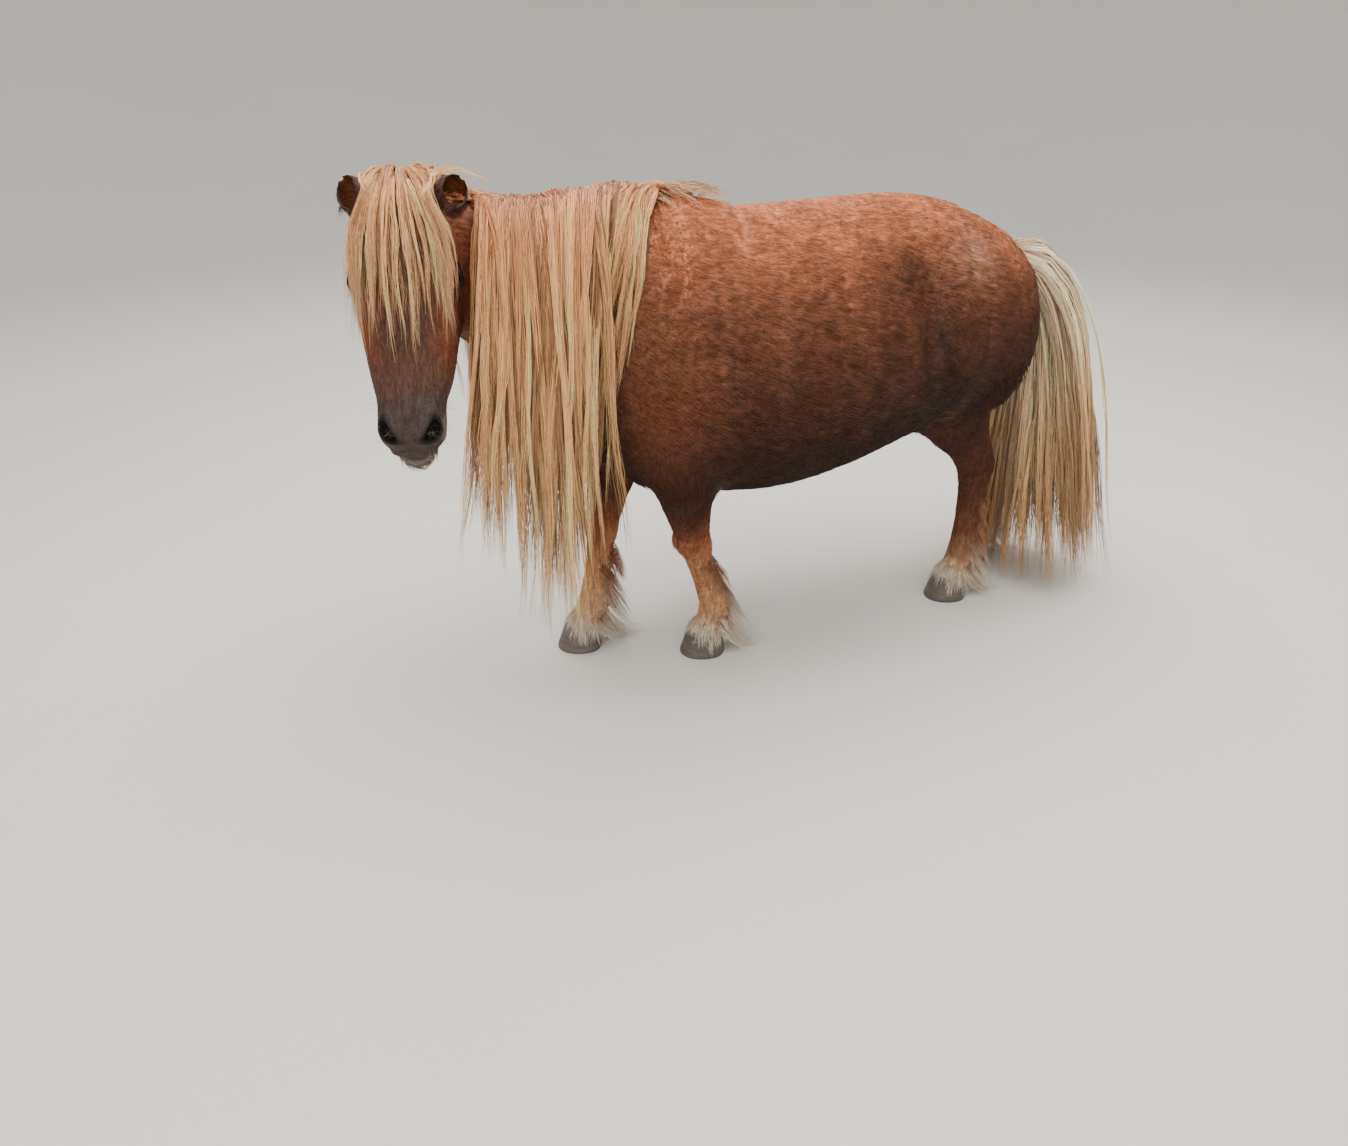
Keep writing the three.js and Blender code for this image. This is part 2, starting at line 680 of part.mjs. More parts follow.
// The room of a leg below its cut, as wide and long as the leg itself.
function legSpace(name, early = 0) {
	const { point, normal } = legCut(name);
	const across = FORWARD.clone().projectOnPlane(normal).normalize();
	const below = beyond(point, normal, across, ...BELOW_LEG, early);
	const from = LEG_ROOM_FROM[name.slice(0, 4)] * SECTIONS_PER_STATION;
	const to = (footFrom(name) + FOOT_OVERLAP) * SECTIONS_PER_STATION;
	const rings = legs[name].sections.slice(from, to).map((section) => ringOf(section, 4));
	const room = new THREE.Box3().setFromPoints(rings.flat());
	const size = room.getSize(new THREE.Vector3()).addScalar(2 * early);
	const box = new THREE.BoxGeometry(...size).translate(...room.getCenter(new THREE.Vector3()));
	return below.intersect(solid(box));
}

const body = wholeBody();
const bodyApart = wholeBody(GAP);
const headApart = headFlesh(GAP);
const apartFromFace = joined(Object.values(SIDES).flatMap((side) => [eyeball(side, 1), earRoom(side, 1)]));
const neckFlesh = body.intersect(neckSpace()).subtract(headApart);
const bodyBeyondNeck = bodyApart.subtract(neckSpace());

const forelock = joined(forelockLocks()).subtract(apartFromFace);
const mane = joined(maneLocks())
	.subtract(joined(forelockLocks(GAP)))
	.subtract(bodyBeyondNeck)
	.subtract(headApart)
	.subtract(pastern('fore_right', GAP))
	.subtract(pastern('fore_left', GAP));
nodes.head = [head().add(forelock.subtract(bodyApart)), CHESTNUT];
nodes.neck = [neckFlesh.add(mane).subtract(apartFromFace), CHESTNUT];
for (const [name, side] of Object.entries(SIDES)) {
	nodes[`ear_${name}`] = [ear(side), DARK_CHESTNUT];
	nodes[`eye_${name}`] = [eyeball(side), EYE];
}
let torso = body.subtract(neckSpace(GAP));
for (const name of Object.keys(legs)) {
	nodes[`${name}_leg`] = [torso.intersect(legSpace(name)), CHESTNUT];
	torso = torso.subtract(legSpace(name, GAP));
	const feather = joined(featherLocks(name)).subtract(hoof(legs[name], GAP)).subtract(bodyApart);
	nodes[`${name}_foot`] = [pastern(name).add(feather), DARK_CHESTNUT];
	nodes[`${name}_hoof`] = [hoof(legs[name]), HORN];
}
nodes.torso = [torso, CHESTNUT];
const dock = lengthOf(tailCore, 0, tailCore.last, FINENESS.dock);
nodes.tail = [joined([dock, ...tailLocks()]).subtract(bodyApart), FLAXEN];

const pony = new THREE.Group();
for (const [name, [made, material]] of Object.entries(nodes)) {
	const { vertProperties, triVerts } = largest(made).getMesh();
	const geometry = new THREE.BufferGeometry();
	geometry.setAttribute('position', new THREE.BufferAttribute(vertProperties, 3));
	geometry.setIndex(new THREE.BufferAttribute(triVerts, 1));
	const mesh = new THREE.Mesh(geometry, material);
	mesh.name = name;
	pony.add(mesh);
}
const middle = new THREE.Box3().setFromObject(pony).getCenter(new THREE.Vector3());
pony.position.set(-middle.x, -middle.y, 0);

export default pony;
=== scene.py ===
# A Shetland pony as a still, life-size model for a museum floor. One skin covers the flesh, glass eyes and
# horn hooves are set into it, and every hair that breaks the form is a solid strand rooted on the skin.

import math

import bpy
import numpy as np
import openvdb
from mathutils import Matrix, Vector


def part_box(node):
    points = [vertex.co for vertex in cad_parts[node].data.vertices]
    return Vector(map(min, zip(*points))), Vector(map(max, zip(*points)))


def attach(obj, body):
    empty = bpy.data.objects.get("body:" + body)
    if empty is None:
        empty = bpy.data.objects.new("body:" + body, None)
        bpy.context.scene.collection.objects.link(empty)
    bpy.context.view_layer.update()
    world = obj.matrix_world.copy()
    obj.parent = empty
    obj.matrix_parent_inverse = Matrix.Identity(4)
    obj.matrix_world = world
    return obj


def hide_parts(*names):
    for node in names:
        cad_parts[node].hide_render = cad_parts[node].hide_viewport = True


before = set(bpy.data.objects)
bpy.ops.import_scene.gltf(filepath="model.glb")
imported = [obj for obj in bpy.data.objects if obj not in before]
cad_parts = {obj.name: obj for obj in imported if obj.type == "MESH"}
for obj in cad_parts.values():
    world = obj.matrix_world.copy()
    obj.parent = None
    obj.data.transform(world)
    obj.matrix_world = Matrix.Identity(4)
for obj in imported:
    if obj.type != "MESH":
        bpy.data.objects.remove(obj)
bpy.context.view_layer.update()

# Where the pony is seen from.
# A camera held at an adult's chest height looks down across the near shoulder, from about two metres away.
# Places are given in the pony's own millimetres: forward of the middle of its trunk, to its left, and up.

MM = 0.001
TOE_FORWARD = 314  # of the near fore hoof
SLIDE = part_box("fore_left_hoof")[0].y / MM + TOE_FORWARD  # from the trunk's middle to the frame's

CAMERA_PLACE = (1137, 1880, 1200)
CAMERA_LOOKS = (-0.8148, 0.3645, -0.4509)
LENS = 28.3  # mm, on a sensor 36 mm wide


def at(forward, left, up):
    """A place, or a direction, of the pony's as x to its left, y behind it and z up."""
    return np.array([left, -forward, up], float)


def framed(points):
    """Points of the pony's, in millimetres, as metres in the frame."""
    return (np.asarray(points, float) + (0, SLIDE, 0)) * MM


camera_data = bpy.data.cameras.new("camera")
camera_data.lens = LENS
camera_data.sensor_width = 36
camera = bpy.data.objects.new("camera", camera_data)
camera.location = framed(at(*CAMERA_PLACE))
camera.rotation_euler = Vector(CAMERA_LOOKS).to_track_quat("-Z", "Y").to_euler()
bpy.context.scene.collection.objects.link(camera)
bpy.context.scene.camera = camera

# The museum's floor and light.
# The pony stands on a pale matt floor that curves up into the wall all round, so that no edge shows.
# The light is a wide soft ceiling, with a weaker one from the viewer's side.

FLOOR = "d9d7d3"
FLOOR_REACH = 5.0  # metres of flat floor round the pony
FLOOR_RINGS = [0.0002, 1.5, 3.2]  # of its mesh, within that
FLOOR_SIDES = 96
WALL_CURVE = 2.5
WALL_HEIGHT = 5.0
CEILING = dict(place=(-0.3, 0.3, 3.6), aims=(0, 0.05, 0.6), size=4.6, watts=300, tint="fff8f0")
FILL = dict(place=(3.6, -2.4, 2.0), aims=(0.1, -0.2, 0.6), size=3.4, watts=120, tint="fff9f2")
SKY = ("f5f5f4", 0.72)


def linear(colour):
    """An sRGB hex colour as linear red, green, blue."""
    parts = np.array([int(colour[i:i + 2], 16) for i in (0, 2, 4)]) / 255
    return np.where(parts <= 0.04045, parts / 12.92, ((parts + 0.055) / 1.055) ** 2.4)


def add(tree, kind, inputs=None, **settings):
    """A node of a tree, with its settings and with each input set to a value or linked to a socket."""
    made = tree.nodes.new(kind)
    for key, value in settings.items():
        setattr(made, key, value)
    for key, value in (inputs or {}).items():
        if isinstance(value, bpy.types.NodeSocket):
            tree.links.new(value, made.inputs[key])
        else:
            made.inputs[key].default_value = value
    return made


def finish_of(name, settings):
    """A new material with its shader's settings, as (material, tree, shader)."""
    material = bpy.data.materials.new(name)
    material.use_nodes = True
    tree = material.node_tree
    shader = tree.nodes["Principled BSDF"]
    for key, value in settings.items():
        shader.inputs[key].default_value = value
    return material, tree, shader


def mesh_of(name, points, faces, material, smooth=True):
    """An object with its place in its mesh, from points in frame metres and faces of any one size."""
    mesh = bpy.data.meshes.new(name)
    faces = np.asarray(faces, np.int32)
    sides = faces.shape[1]
    mesh.vertices.add(len(points))
    mesh.vertices.foreach_set("co", np.asarray(points, np.float32).ravel())
    mesh.loops.add(faces.size)
    mesh.loops.foreach_set("vertex_index", faces.ravel())
    mesh.polygons.add(len(faces))
    mesh.polygons.foreach_set("loop_start", np.arange(0, faces.size, sides, dtype=np.int32))
    mesh.update(calc_edges=True)
    mesh.polygons.foreach_set("use_smooth", np.full(len(faces), smooth))
    mesh.materials.append(material)
    made = bpy.data.objects.new(name, mesh)
    bpy.context.scene.collection.objects.link(made)
    return made


floor_paint, tree, shader = finish_of("matt_floor_paint", {"Roughness": 0.85})
grain = add(tree, "ShaderNodeTexNoise", {"Scale": 14.0, "Detail": 4.0})
tone = add(tree, "ShaderNodeMix", {
    "Factor": grain.outputs["Fac"], 6: (*linear(FLOOR), 1), 7: (*linear(FLOOR) * 0.94, 1)}, data_type="RGBA")
tree.links.new(tone.outputs[2], shader.inputs["Base Color"])

curve_steps = np.linspace(0, math.pi / 2, 9)
reach = np.concatenate([
    FLOOR_RINGS, FLOOR_REACH + WALL_CURVE * np.sin(curve_steps), [FLOOR_REACH + WALL_CURVE]])
rise = np.concatenate([
    np.zeros(len(FLOOR_RINGS)), WALL_CURVE * (1 - np.cos(curve_steps)), [WALL_HEIGHT]])
turns = np.linspace(0, 2 * math.pi, FLOOR_SIDES, endpoint=False)
rings = np.stack([np.outer(reach, np.cos(turns)), np.outer(reach, np.sin(turns)),
                  np.outer(rise, np.ones_like(turns))], axis=2)
row = np.arange(FLOOR_SIDES)
ahead = np.roll(row, -1)
quads = [np.stack([a + ahead, a + FLOOR_SIDES + ahead, a + FLOOR_SIDES + row, a + row], 1)
         for a in np.arange(len(reach) - 1) * FLOOR_SIDES]
floor = mesh_of("floor", rings.reshape(-1, 3), np.concatenate(quads), floor_paint)

for name, lamp in {"ceiling": CEILING, "fill": FILL}.items():
    light = bpy.data.lights.new(name, "AREA")
    light.energy = lamp["watts"]
    light.size = lamp["size"]
    light.color = linear(lamp["tint"])
    holder = bpy.data.objects.new(name, light)
    holder.location = lamp["place"]
    holder.rotation_euler = (Vector(lamp["aims"]) - Vector(lamp["place"])).to_track_quat("-Z", "Y").to_euler()
    bpy.context.scene.collection.objects.link(holder)

world = bpy.data.worlds.new("pale_room")
world.use_nodes = True
world.node_tree.nodes["Background"].inputs["Color"].default_value = (*linear(SKY[0]), 1)
world.node_tree.nodes["Background"].inputs["Strength"].default_value = SKY[1]
bpy.context.scene.world = world

# The flesh.
# Trunk, neck, legs, skull and the dock of the tail are limbs: egg-shaped sections along a curve. The skin
# is drawn where they meet, inside the coat by its depth, with the muscles and hollows that show through.

LEFT = at(0, 1, 0)
UP = at(0, 0, 1)
FORWARD = at(1, 0, 0)
DOWN = -UP
WITHERS = 938
CROUP = 922
BELLY = 346
BARREL = 530  # width
HOOF_HEIGHT = 46
POLL = at(805, 50, 980)
HEAD_YAW = math.radians(71)  # that the face is turned left of straight ahead
HEAD_PITCH = math.radians(62)  # that the face slopes below the horizontal
PER_STATION = 12  # samples of a limb between two of its stations
END_CAP = 12  # mm that a limb rounds over past its last station
LEG_CAP = 85  # mm that a leg reaches up into the trunk over its first station


def unit(vectors):
    """Vectors brought to a length of 1."""
    return vectors / np.maximum(np.linalg.norm(vectors, axis=-1, keepdims=True), 1e-9)


def dot(a, b):
    """The dot product of each pair of vectors."""
    return (a * b).sum(-1)


def along_curve(stations, places, free_ends):
    """Values and slopes at places on a smooth curve through stations. A line has free ends, evenly paced
    by the square root of the gaps, and a size holds its end value."""
    first, last = (2 * stations[0] - stations[1], 2 * stations[-1] - stations[-2]) if free_ends else \
        (stations[0], stations[-1])
    padded = np.vstack([first, stations, last])
    i = np.minimum(places.astype(int), len(stations) - 2)
    t = (places - i)[:, None]
    before, start, end, after = (padded[i + k] for k in range(4))
    if free_ends:
        gaps = [np.linalg.norm(b - a, axis=1, keepdims=True) ** 0.5
                for a, b in ((before, start), (start, end), (end, after))]
    else:
        gaps = [np.ones_like(t)] * 3
    leave = ((start - before) / gaps[0] - (end - before) / (gaps[0] + gaps[1])) * gaps[1] + end - start
    reach = ((after - end) / gaps[2] - (after - start) / (gaps[1] + gaps[2])) * gaps[1] + end - start
    bend = -3 * start + 3 * end - 2 * leave - reach
    twist = 2 * start - 2 * end + leave + reach
    return start + leave * t + bend * t**2 + twist * t**3, leave + 2 * bend * t + 3 * twist * t**2


# The parts of a limb's rows: its centre, the ways along, to the side and front, and its three sizes
CENTRE, ALONG, SIDE, FRONT = slice(0, 3), slice(3, 6), slice(6, 9), slice(9, 12)
WIDE, FORE, AFT = 12, 13, 14


class Limb:
    """Flesh along a curve, from stations of centre, half width, reach in front or above, and reach behind
    or below. The half widths lie along the direction across."""

    def __init__(self, stations, across=LEFT, cap=12):
        self.cap = cap  # mm that it rounds over before its first station
        self.centres = np.array([s[0] for s in stations], float)
        self.sizes = np.array([s[1:] for s in stations], float)
        self.across = across
        self.last = len(stations) - 1
        self.samples = self.section(np.linspace(0, self.last, self.last * PER_STATION + 1))
        self.middles = self.samples[:, CENTRE]
        self.spacing = np.linalg.norm(np.gradient(self.middles, axis=0), axis=1)
        reach = self.sizes.max()
        self.box = self.middles.min(0) - reach, self.middles.max(0) + reach

    def section(self, places):
        """The limb's rows at places along it, each read by CENTRE, ALONG and so on."""
        places = np.atleast_1d(np.asarray(places, float))
        centre, slope = along_curve(self.centres, places, True)
        sizes, _ = along_curve(self.sizes, places, False)
        along = unit(slope)
        side = unit(self.across - along * dot(along, self.across)[:, None])
        return np.hstack([centre, along, side, np.cross(along, side), sizes])

    def beside(self, points):
        """The place along the limb that is level with each point, and its section there."""
        near = np.empty(len(points), int)
        squares = dot(self.middles, self.middles)
        for start in range(0, len(points), 100_000):
            part = points[start:start + 100_000]
            near[start:start + len(part)] = np.argmin(squares - 2 * part @ self.middles.T, axis=1)
        ahead = dot(points - self.middles[near], self.samples[near, ALONG]) / self.spacing[near]
        place = np.clip(near + np.clip(ahead, -1, 1), 0, len(self.middles) - 1)
        low = np.minimum(place.astype(int), len(self.middles) - 2)
        t = (place - low)[:, None]
        return place / PER_STATION, self.samples[low] * (1 - t) + self.samples[low + 1] * t

    def polar(self, points):
        """Each point's place along the limb, its turn round it from the side, its share of the way out to
        the surface, and how far it is from the middle."""
        place, row = self.beside(points)
        offset = points - row[:, CENTRE]
        up = dot(offset, row[:, FRONT])
        x = dot(offset, row[:, SIDE]) / row[:, WIDE]
        y = up / np.where(up > 0, row[:, FORE], row[:, AFT])
        z = dot(offset, row[:, ALONG])
        z = np.where(z < 0, z / self.cap, z / END_CAP)
        return place, np.arctan2(y, x), np.sqrt(x * x + y * y + z * z), np.linalg.norm(offset, axis=1)

    def outside(self, points, margin=90):
        """How far each point is outside the limb, negative within it."""
        gap = np.maximum(self.box[0] - points, points - self.box[1]).max(1)
        found = np.maximum(gap, margin)
        close = gap < margin
        if close.any():
            _, _, share, far = self.polar(points[close])
            found[close] = far * (1 - 1 / np.maximum(share, 1e-6))
        return found


def cut(forward, top, middle, bottom, wide):
    """A station of the trunk, from its levels."""
    return at(forward, 0, middle), wide, top - middle, middle - bottom


def spot(forward, left, up, wide, fore, aft):
    """A station of the neck."""
    return at(forward, left, up), wide, fore, aft


def between(a, b, t):
    """The share t of the way from a to b."""
    return a * (1 - t) + b * t


trunk = Limb([
    cut(-524, 764, 700, 610, 60),
    cut(-500, 812, 690, 560, 122),
    cut(-440, 868, 680, 505, 180),
    cut(-360, 905, 665, 470, 220),
    cut(-265, CROUP + 2, 650, 440, 240),
    cut(-150, CROUP + 4, 635, 404, 250),
    cut(-20, CROUP, 620, 366, 262),
    cut(100, CROUP - 4, 612, BELLY, BARREL / 2),
    cut(200, CROUP - 2, 612, 350, 252),
    cut(285, WITHERS - 4, 612, 358, 228),
    cut(345, WITHERS, 612, 364, 205),
    cut(420, 900, 600, 380, 168),
    cut(480, 815, 590, 440, 124),
    cut(512, 700, 590, 500, 56),
])
neck = Limb([
    spot(300, 0, 700, 130, 225, 200),
    spot(430, 0, 757, 122, 188, 222),
    spot(540, 6, 804, 102, 145, 188),
    spot(640, 18, 840, 86, 117, 152),
    spot(730, 30, 875, 76, 95, 118),
    spot(800, 42, 896, 58, 72, 78),
])


def fore_leg(*joints):
    """A fore leg, from its shoulder, elbow, knee, fetlock and coronet."""
    shoulder, elbow, knee, fetlock, coronet = (at(*p) for p in joints)
    return Limb([
        (shoulder, 58, 95, 95),
        (elbow, 60, 72, 78),
        (between(elbow, knee, 0.5), 47, 52, 54),
        (between(elbow, knee, 0.86), 36, 38, 36),
        (knee, 37, 41, 35),
        (between(knee, fetlock, 0.25), 29, 28, 31),
        (between(knee, fetlock, 0.6), 26, 25, 31),
        (fetlock, 33, 32, 38),
        (between(fetlock, coronet, 0.5), 31, 30, 33),
        (coronet, 38, 40, 39),
    ], cap=LEG_CAP)


def hind_leg(*joints):
    """A hind leg, from its hip, thigh, stifle, hock, fetlock and coronet."""
    hip, thigh, stifle, hock, fetlock, coronet = (at(*p) for p in joints)
    return Limb([
        (hip, 92, 120, 120),
        (thigh, 88, 135, 130),
        (stifle, 70, 98, 98),
        (between(stifle, hock, 0.55), 46, 52, 56),
        (between(stifle, hock, 0.88), 35, 36, 42),
        (hock, 35, 38, 40),
        (between(hock, fetlock, 0.3), 28, 29, 33),
        (between(hock, fetlock, 0.65), 27, 27, 31),
        (fetlock, 33, 32, 38),
        (between(fetlock, coronet, 0.5), 31, 31, 33),
        (coronet, 38, 41, 39),
    ], cap=LEG_CAP)


legs = {
    "fore_left": fore_leg(
        (335, 118, 560), (328, 116, 445), (293, 80, 278), (238, 76, 104), (254, 75, HOOF_HEIGHT)),
    "fore_right": fore_leg(
        (345, -118, 560), (374, -112, 450), (434, -74, 280), (464, -58, 106), (490, -56, HOOF_HEIGHT)),
    "hind_left": hind_leg(
        (-335, 112, 735), (-340, 130, 610), (-308, 126, 505),
        (-414, 92, 314), (-412, 82, 104), (-390, 80, HOOF_HEIGHT)),
    "hind_right": hind_leg(
        (-335, -112, 735), (-368, -130, 610), (-385, -126, 505),
        (-588, -86, 318), (-602, -76, 104), (-580, -74, HOOF_HEIGHT)),
}
dock = Limb([
    (at(-478, 0, 768), 30, 32, 32),
    (at(-545, 0, 768), 30, 30, 30),
    (at(-602, 4, 715), 26, 26, 26),
    (at(-630, 12, 630), 20, 20, 20),
    (at(-640, 20, 540), 12, 12, 12),
])

# Places on the head run along the face from the poll, to its left, and out from the line of the face
facing = at(math.cos(HEAD_YAW), math.sin(HEAD_YAW), 0)
head_left = np.cross(UP, facing)
head_down = facing * math.cos(HEAD_PITCH) - UP * math.sin(HEAD_PITCH)
head_out = np.cross(head_down, head_left)
HEAD_AXES = np.stack([head_down, head_left, head_out])


def on_head(along, left, out):
    """A place on the head, as one of the pony's."""
    return POLL + np.array([along, left, out], float) @ HEAD_AXES


def brow_cut(along, brow, middle, jaw, wide):
    """A station of the skull, from its levels out from the line of the face."""
    return on_head(along, 0, middle), wide, brow - middle, middle - jaw


skull = Limb([
    brow_cut(-32, -45, -62, -82, 26),
    brow_cut(-8, -12, -52, -112, 58),
    brow_cut(40, 4, -42, -150, 78),
    brow_cut(92, 10, -36, -176, 88),
    brow_cut(142, 8, -36, -186, 87),
    brow_cut(192, 0, -46, -174, 81),
    brow_cut(240, -6, -50, -148, 72),
    brow_cut(288, -9, -50, -124, 63),
    brow_cut(332, -8, -48, -106, 56),
    brow_cut(370, -10, -50, -98, 57),
    brow_cut(396, -22, -54, -90, 53),
    brow_cut(413, -42, -60, -78, 38),
], head_left)

COAT = 6  # mm of coat over the trunk and neck
LEG_COAT = 3
FACE_COAT = 1.5
FILLETS = dict(neck=70, fore=34, hind=44, dock=26, head=26)  # mm, where each runs into the rest


def fused(a, b, width):
    """Two distances joined by a fillet of about that width."""
    t = np.clip(0.5 + 0.5 * (b - a) / width, 0, 1)
    return between(b, a, t) - width * t * (1 - t)


def carved(a, b, width):
    """A distance with another shape cut out of it, the edge rounded."""
    return -fused(-a, b, width)


def swell(points, centre, radii):
    """1 at a centre, falling to 0 over about its radii."""
    return np.exp(-(((points - np.array(centre)) / np.array(radii)) ** 2).sum(1))


# Muscles and hollows, the same on both sides: (forward, left, up), radii of each, and height in mm
MUSCLES = [
    ((-205, 165, 872), (50, 50, 36), 8),  # point of the hip
    ((-128, 190, 815), (52, 70, 52), -9),  # hollow in front of it
    ((-160, 240, 700), (40, 80, 105), -30),  # hollow of the flank
    ((-190, 205, 560), (20, 60, 90), 8),  # fold from flank to stifle
    ((-230, 215, 660), (24, 70, 95), 13),  # front of the thigh
    ((-292, 205, 650), (17, 80, 100), -9),  # grooves between the muscles of the thigh
    ((-380, 205, 640), (17, 80, 110), -14),
    ((-335, 190, 660), (26, 70, 110), 5),
    ((-430, 175, 690), (42, 60, 90), 9),
    ((-455, 120, 560), (40, 60, 60), 7),
    ((335, 190, 705), (60, 60, 120), 9),  # shoulder blade
    ((190, 215, 640), (26, 60, 120), -7),  # behind the shoulder
    ((262, 175, 570), (60, 60, 60), 12),
    ((225, 150, 430), (30, 60, 40), -8),  # behind the elbow
    ((405, 150, 590), (35, 50, 60), 9),  # point of the shoulder
    ((505, 60, 590), (45, 45, 75), 10),  # breast
    ((512, 0, 590), (50, 13, 90), -9),
    ((-190, 0, 404), (80, 38, 34), 34),  # sheath
    ((-524, 0, 690), (60, 15, 130), -16),  # between the buttocks
]
# The joints of each leg: stations above the coronet, share of the reach to the front, radius and height
JOINTS = {
    "fore": [(6, -1, 34, 7), (4.4, -0.9, 24, 8), (3.2, -1, 26, 6), (2, -0.9, 18, 5)],
    "hind": [(5.4, -1.0, 30, 13), (6.4, -1, 40, 9), (5, 0.9, 22, 3), (4.1, -1, 30, 9), (3.2, -1, 26, 6),
             (2, -0.9, 18, 5)],
}

# The head's own forms: centre, radii and height, the same on both sides
FACE = [
    ((205, 60, -72), (52, 14, 9), 4),  # facial crest
    ((140, 74, -118), (80, 42, 52), 11),  # cheek
    ((232, 60, -96), (62, 34, 44), 9),
    ((300, 54, -88), (48, 30, 34), 11),  # corner of the mouth and jaw
    ((96, 46, 0), (18, 17, 20), -5),  # hollow of the temple
    ((262, 42, -30), (50, 13, 13), -3.5),  # beside the bridge of the nose
    ((300, 50, -78), (40, 20, 20), -2.5),
    ((404, 0, -46), (22, 4, 16), -2.6),  # groove between the nostrils
    ((402, 14, -52), (14, 12, 12), 3),  # upper lip
]
EYE_PLACE = np.array([138, 73, -30.0])
EYE_RADIUS = 19
EYE_LOOKS = unit(np.array([0, 0.86, 0.5]))
EYE_RISE = unit(np.array([0, -0.5, 0.86]))
LID_OPENING = (34, -27)  # degrees up and down to the lids' edges
LID_SPAN = 68  # degrees to each corner
LID_THICKNESS = 2.6
EYE_PIT = 11  # mm from the middle of the eye to the floor of its pit
NOSTRIL_PLACE = np.array([384, 31, -27.0])
NOSTRIL_OPENS = unit(np.array([0.42, 0.5, 0.76]))
NOSTRIL_TILT = math.radians(20)  # that its lower end leans to the middle
NOSTRIL_LONG, NOSTRIL_WIDE = 20, 11  # mm, from its middle to its rim
MOUTH_PLACE = np.array([384, 0, -72.0])
MOUTH_TILT = math.radians(14)
MOUTH_REACH = 46  # mm back from its middle to its corners


def head_places(points):
    """Places on the head, along the face, to its left and out, as they are and all mirrored to its left."""
    h = (points - POLL) @ HEAD_AXES.T
    return h, h * (1, 0, 1) + np.abs(h) * (0, 1, 0)


def lip_places(h):
    """How far places on the head are above the line of the mouth, and ahead of its middle."""
    lip = h - MOUTH_PLACE
    over = lip[:, 2] * math.cos(MOUTH_TILT) - lip[:, 0] * math.sin(MOUTH_TILT)
    return over, lip[:, 0] * math.cos(MOUTH_TILT) + lip[:, 2] * math.sin(MOUTH_TILT)


def lid_gap(local):
    """How far places, seen from the middle of the eye, are outside the opening of the lids, how far they
    are from the middle, and their share of the way round to a corner."""
    looks = dot(local, EYE_LOOKS)
    rise = dot(local, EYE_RISE)
    far = np.maximum(np.linalg.norm(local, axis=1), 1e-6)
    turn = np.degrees(np.arcsin(np.clip(local[:, 0] / far, -1, 1))) / LID_SPAN
    tilt = np.degrees(np.arctan2(rise, looks))
    upper, lower = LID_OPENING
    shut = np.maximum(tilt - upper * (1 - turn**2), lower * (1 - turn**2) - tilt)
    return np.radians(shut) * EYE_RADIUS, far, turn


def nostril_local(mirrored):
    """Places seen from a nostril: along its length, across it, and out of it."""
    long = unit(np.array([1, 0, 0]) - NOSTRIL_OPENS * NOSTRIL_OPENS[0])
    across = np.cross(NOSTRIL_OPENS, long)
    across *= np.sign(across[1])
    offset = mirrored - NOSTRIL_PLACE
    a, b = dot(offset, long), dot(offset, across)
    a, b = (a * math.cos(NOSTRIL_TILT) - b * math.sin(NOSTRIL_TILT),
            a * math.sin(NOSTRIL_TILT) + b * math.cos(NOSTRIL_TILT))
    return a, b + 0.012 * a * a - 2, dot(offset, NOSTRIL_OPENS)


def face(points):
    """How far points are outside the head."""
    h, mirrored = head_places(points)
    d = skull.outside(points) + FACE_COAT
    for centre, radii, height in FACE:
        d -= height * swell(mirrored, centre, radii)
    local = mirrored - EYE_PLACE
    brow = local - EYE_RISE * 15 + EYE_LOOKS * 9
    forward, looks, rise = brow[:, 0], dot(brow, EYE_LOOKS), dot(brow, EYE_RISE)
    share = np.sqrt((forward / 32) ** 2 + (looks / 17) ** 2 + (rise / 15) ** 2)
    d = fused(d, (share - 1) * 15 + FACE_COAT, 14)
    shut, far, turn = lid_gap(local)
    d = fused(d, far - EYE_RADIUS - LID_THICKNESS, 7)
    lids = np.exp(-((far - EYE_RADIUS) / 9) ** 2) * np.clip(1 - turn**2, 0, 1)
    d += 1.4 * lids * np.exp(-((shut - 8) / 2.2) ** 2)
    d = carved(d, np.maximum(shut, EYE_PIT - far), 1.2)
    a, b, out = nostril_local(mirrored)
    wing = np.sqrt((a / 26) ** 2 + (b / 19) ** 2 + (out / 15) ** 2)
    d = fused(d, (wing - 1) * 15, 12)
    ring = np.hypot(a / NOSTRIL_LONG, b / NOSTRIL_WIDE)
    d -= 2.6 * np.exp(-((ring - 1.3) / 0.35) ** 2) * np.exp(-(out / 16) ** 2)
    hole = np.sqrt(ring**2 + ((out - 13) / 20) ** 2)
    d = carved(d, (hole - 1) * NOSTRIL_WIDE, 3)
    chin = np.sqrt((((h - (399, 0, -90)) / (39, 33, 27)) ** 2).sum(1))
    d = fused(d, (chin - 1) * 27, 10)
    over, ahead = lip_places(h)
    front = 1 / (1 + np.exp(-(ahead + MOUTH_REACH) / 4))
    d += 3.6 * front * np.exp(-(over / 1.6) ** 2)
    d -= 1.8 * front * np.exp(-((np.abs(over) - 6) / 4) ** 2)
    return d


joint_swells = []
for name, leg in legs.items():
    for above, ahead, radius, height in JOINTS[name[:4]]:
        row = leg.section(leg.last - above)[0]
        reach = row[FORE] if ahead > 0 else row[AFT]
        joint_swells.append((row[CENTRE] + row[FRONT] * ahead * reach, (radius,) * 3, height))


